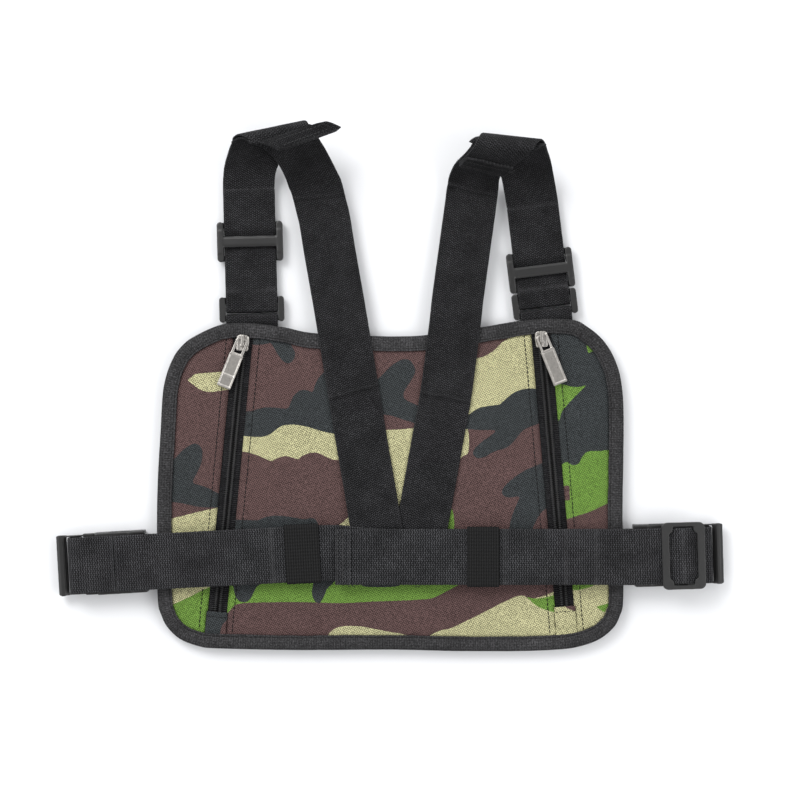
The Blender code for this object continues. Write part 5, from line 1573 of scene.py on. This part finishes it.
spot = on_wing(16 * MM)
keeper("keeper_band_left", "keeper_left", frame_at(spot.x, spot.y, 2.97), 11.9 * MM, BELT_Z + WEB)
keeper("keeper_band_right", "keeper_right", frame_at(64.8 * MM, BELT_Y, 0.0), 11.1 * MM, TAIL_Z + WEB, 0.3 * MM)

# the belt tail's sewn end: a turned hem with a zigzag between two straight rows
obj = strip("belt_hem", [level(-37.3 * MM, BELT_Y, zt + 1.22 * MM), level(-32 * MM, BELT_Y, zt + 1.3 * MM), level(-26.6 * MM, BELT_Y, zt + 1.22 * MM)],
            [Y1] * 3, BELT_W / 2 - 0.2 * MM, BELT, thick=1.15 * MM, seed=45.0, step=1.5 * MM, edge_wobble=0.3 * MM, wav=0.14 * MM)
lay(obj, "harness", "belt_tail", slot="black_webbing")
bm = bmesh.new()
top_z = zt + 1.27 * MM + 0.72 * MM
for x0, kind in ((-35.9, 1), (-32.0, 0), (-28.0, 1)):
    pts = []
    count = 25 if kind == 0 else 41
    for j in range(count):
        yy = (-0.93 + 1.86 * j / (count - 1)) * BELT_W / 2
        zig = (1.15 * MM if j % 2 else -1.15 * MM) if kind == 0 else 0.0
        pts.append((Vector((x0 * MM + zig, BELT_Y + yy, top_z)), UP))
    if kind:
        stitch_line(pts, bm, 2.2 * MM, 0.6 * MM, 0.26 * MM, 0.12 * MM)
    else:
        for a, b in zip(pts, pts[1:]):
            ends = [(a[0].lerp(b[0], t), UP) for t in (0.02, 0.35, 0.65, 0.98)]
            stitch_line(ends, bm, (ends[-1][0] - ends[0][0]).length * 0.98, 1.0, 0.30 * MM, 0.14 * MM)
belt_low = BELT_Y - BELT_W / 2
for x0, dx in ((-29.0, 3.0), (-26.0, 2.6), (17.5, 4.5), (20.5, -3.5)):
    pts = [Vector(((x0 + dx * t / 6) * MM, belt_low + (0.6 - 1.5 * math.sin(t * 0.6) - 0.35 * t) * MM, (15.2 - 0.5 * t) * MM)) for t in range(7)]
    wisp(bm, pts, 0.2 * MM)
lay(from_bm("belt_stitches", bm, [SEAM_THREAD]), "harness", slot="black_webbing")

# ================================================================ moulded hardware
def moulding(node, name, voxel=0.5 * MM, rounds=3, extra=None, place=None, ratio=0.6, body=None, fresh=False):
    if extra is not None:
        def more(bm):
            if fresh:
                bm.clear()
            spare_bm = bmesh.new()
            extra(spare_bm)
            spare_bm.transform(place)
            spare = bpy.data.meshes.new("spare")
            spare_bm.to_mesh(spare)
            spare_bm.free()
            bm.from_mesh(spare)
            bpy.data.meshes.remove(spare)
    else:
        more = None
    return lay(shaped(node, name, voxel, rounds, [PLASTIC], more, ratio), body or node, node, slot="black_acetal")


for s in SIDES:
    x, y = (v * MM for v in RING_PIVOT[s])
    hinge = frame_at(x, y, 90.0 + LEG_LEAN[s], 5.4 * MM)

    def ring_form(bm):
        # rails with rounded ends, a thin hinge bar and the flat bar that the strap turns round
        for v in (-20.45, 20.45):
            add_box(bm, Vector((0.3, v - 2.15, -2.8)) * MM, Vector((13.7, v + 2.15, 1.4)) * MM)
            add_drum(bm, Vector((0.3, v, -0.7)) * MM, 2.15 * MM, 2.1 * MM)
            add_drum(bm, Vector((13.7, v, -0.7)) * MM, 2.15 * MM, 2.1 * MM)
        add_drum(bm, Vector((0, 0, 0)) * MM, 1.15 * MM, 19.0 * MM, "Y")
        add_box(bm, Vector((11.6, -19.3, -2.8)) * MM, Vector((15.6, 19.3, -0.4)) * MM)

    def adjuster_form(bm):
        for v in (-20.6, 20.6):
            add_box(bm, Vector((-11.6, v - 2.3, -2.8)) * MM, Vector((11.6, v + 2.3, 1.7)) * MM)
            add_box(bm, Vector((-8.0, v - 1.7, 1.5)) * MM, Vector((8.0, v + 1.7, 2.1)) * MM)
            for u in (-11.6, 11.6):
                add_drum(bm, Vector((u, v, -0.55)) * MM, 2.3 * MM, 2.25 * MM)
        add_box(bm, Vector((-13.6, -19.3, -2.8)) * MM, Vector((-10.0, 19.3, -0.4)) * MM)
        add_box(bm, Vector((10.0, -19.3, -2.8)) * MM, Vector((13.6, 19.3, -0.4)) * MM)
        add_box(bm, Vector((-3.8, -19.3, -0.8)) * MM, Vector((3.8, 19.3, 1.5)) * MM)
        add_box(bm, Vector((-2.6, -19.3, 1.2)) * MM, Vector((2.6, 19.3, 2.0)) * MM)

    at = hinge @ Matrix.Translation((ADJUSTER_AT[s], 0, 0))
    moulding(f"strap_ring_{s}", f"ring_{s}", 0.40 * MM, 4, ring_form, hinge, fresh=True)
    moulding(f"shoulder_adjuster_{s}", f"adjuster_{s}", 0.40 * MM, 4, adjuster_form, at, fresh=True)
    place = buckle_frame(s)

    def socket(bm):
        # a raised border and shallow ribs on the socket's face
        for v in (-15.0, 15.0):
            add_box(bm, Vector((12.0, v - 0.5, 12.0)) * MM, Vector((33.5, v + 0.5, 12.75)) * MM)
        add_box(bm, Vector((10.2, -20.5, 12.0)) * MM, Vector((11.2, 20.5, 12.75)) * MM)
        add_box(bm, Vector((33.6, -20.5, 12.0)) * MM, Vector((34.6, 20.5, 12.75)) * MM)

    moulding(f"buckle_female_{s}", f"socket_{s}", 0.5 * MM, 3, socket, place, body="harness")

    def plug(bm):
        # the outer bar is broad and keeled, and its inner edge leans in over the webbing's turn
        add_box(bm, Vector((55.3, -20.9, 5.3)) * MM, Vector((58.8, 20.9, 8.7)) * MM)
        add_box(bm, Vector((56.6, -20.9, 8.4)) * MM, Vector((61.4, 20.9, 9.5)) * MM)
        add_box(bm, Vector((57.8, -21.2, 9.2)) * MM, Vector((60.4, 21.2, 10.1)) * MM)

    moulding(f"buckle_male_{s}", f"plug_{s}", 0.42 * MM, 3, plug, place)
    for hand in ("front", "rear"):
        moulding(f"buckle_prong_{s}_{hand}", f"prong_{s}_{hand}", 0.4 * MM, 3)


def slide_form(bm):
    for v in (-21.65, 21.65):
        add_box(bm, Vector((-11.1, v - 1.45, 17.75)) * MM, Vector((11.1, v + 1.45, 21.2)) * MM)
    for u in (-12.3, 12.3):
        add_box(bm, Vector((u - 2.7, -19.1, 18.95)) * MM, Vector((u + 2.7, 19.1, 21.2)) * MM)
    for u in (-11.0, 11.0):
        for v in (-19.1, 19.1):
            add_drum(bm, Vector((u, v, 20.05)) * MM, 4.0 * MM, 1.15 * MM, segments=32)
    add_box(bm, Vector((-2.5, -20.5, 17.75)) * MM, Vector((2.5, 20.5, 19.3)) * MM)


moulding("belt_adjuster", "belt_slide", 0.40 * MM, 4, slide_form, place @ Matrix.Translation((ADJ_U, 0, 0)), fresh=True)

# ================================================================ ground
floor_mesh = bpy.data.meshes.new("ground")
R = 4.0
floor_mesh.from_pydata([(-R, -R, -0.0006), (R, -R, -0.0006), (R, R, -0.0006), (-R, R, -0.0006)], [], [(0, 1, 2, 3)])
g = Nodes("ground_white", 0.9, 0.0, 0.1)
paper = g.noise(30, 2, 0.5)
g.finish(g.mix(paper, (0.736, 0.744, 0.762), (0.744, 0.752, 0.770)), None, None)
ground = add_object("ground", floor_mesh, [g.mat])

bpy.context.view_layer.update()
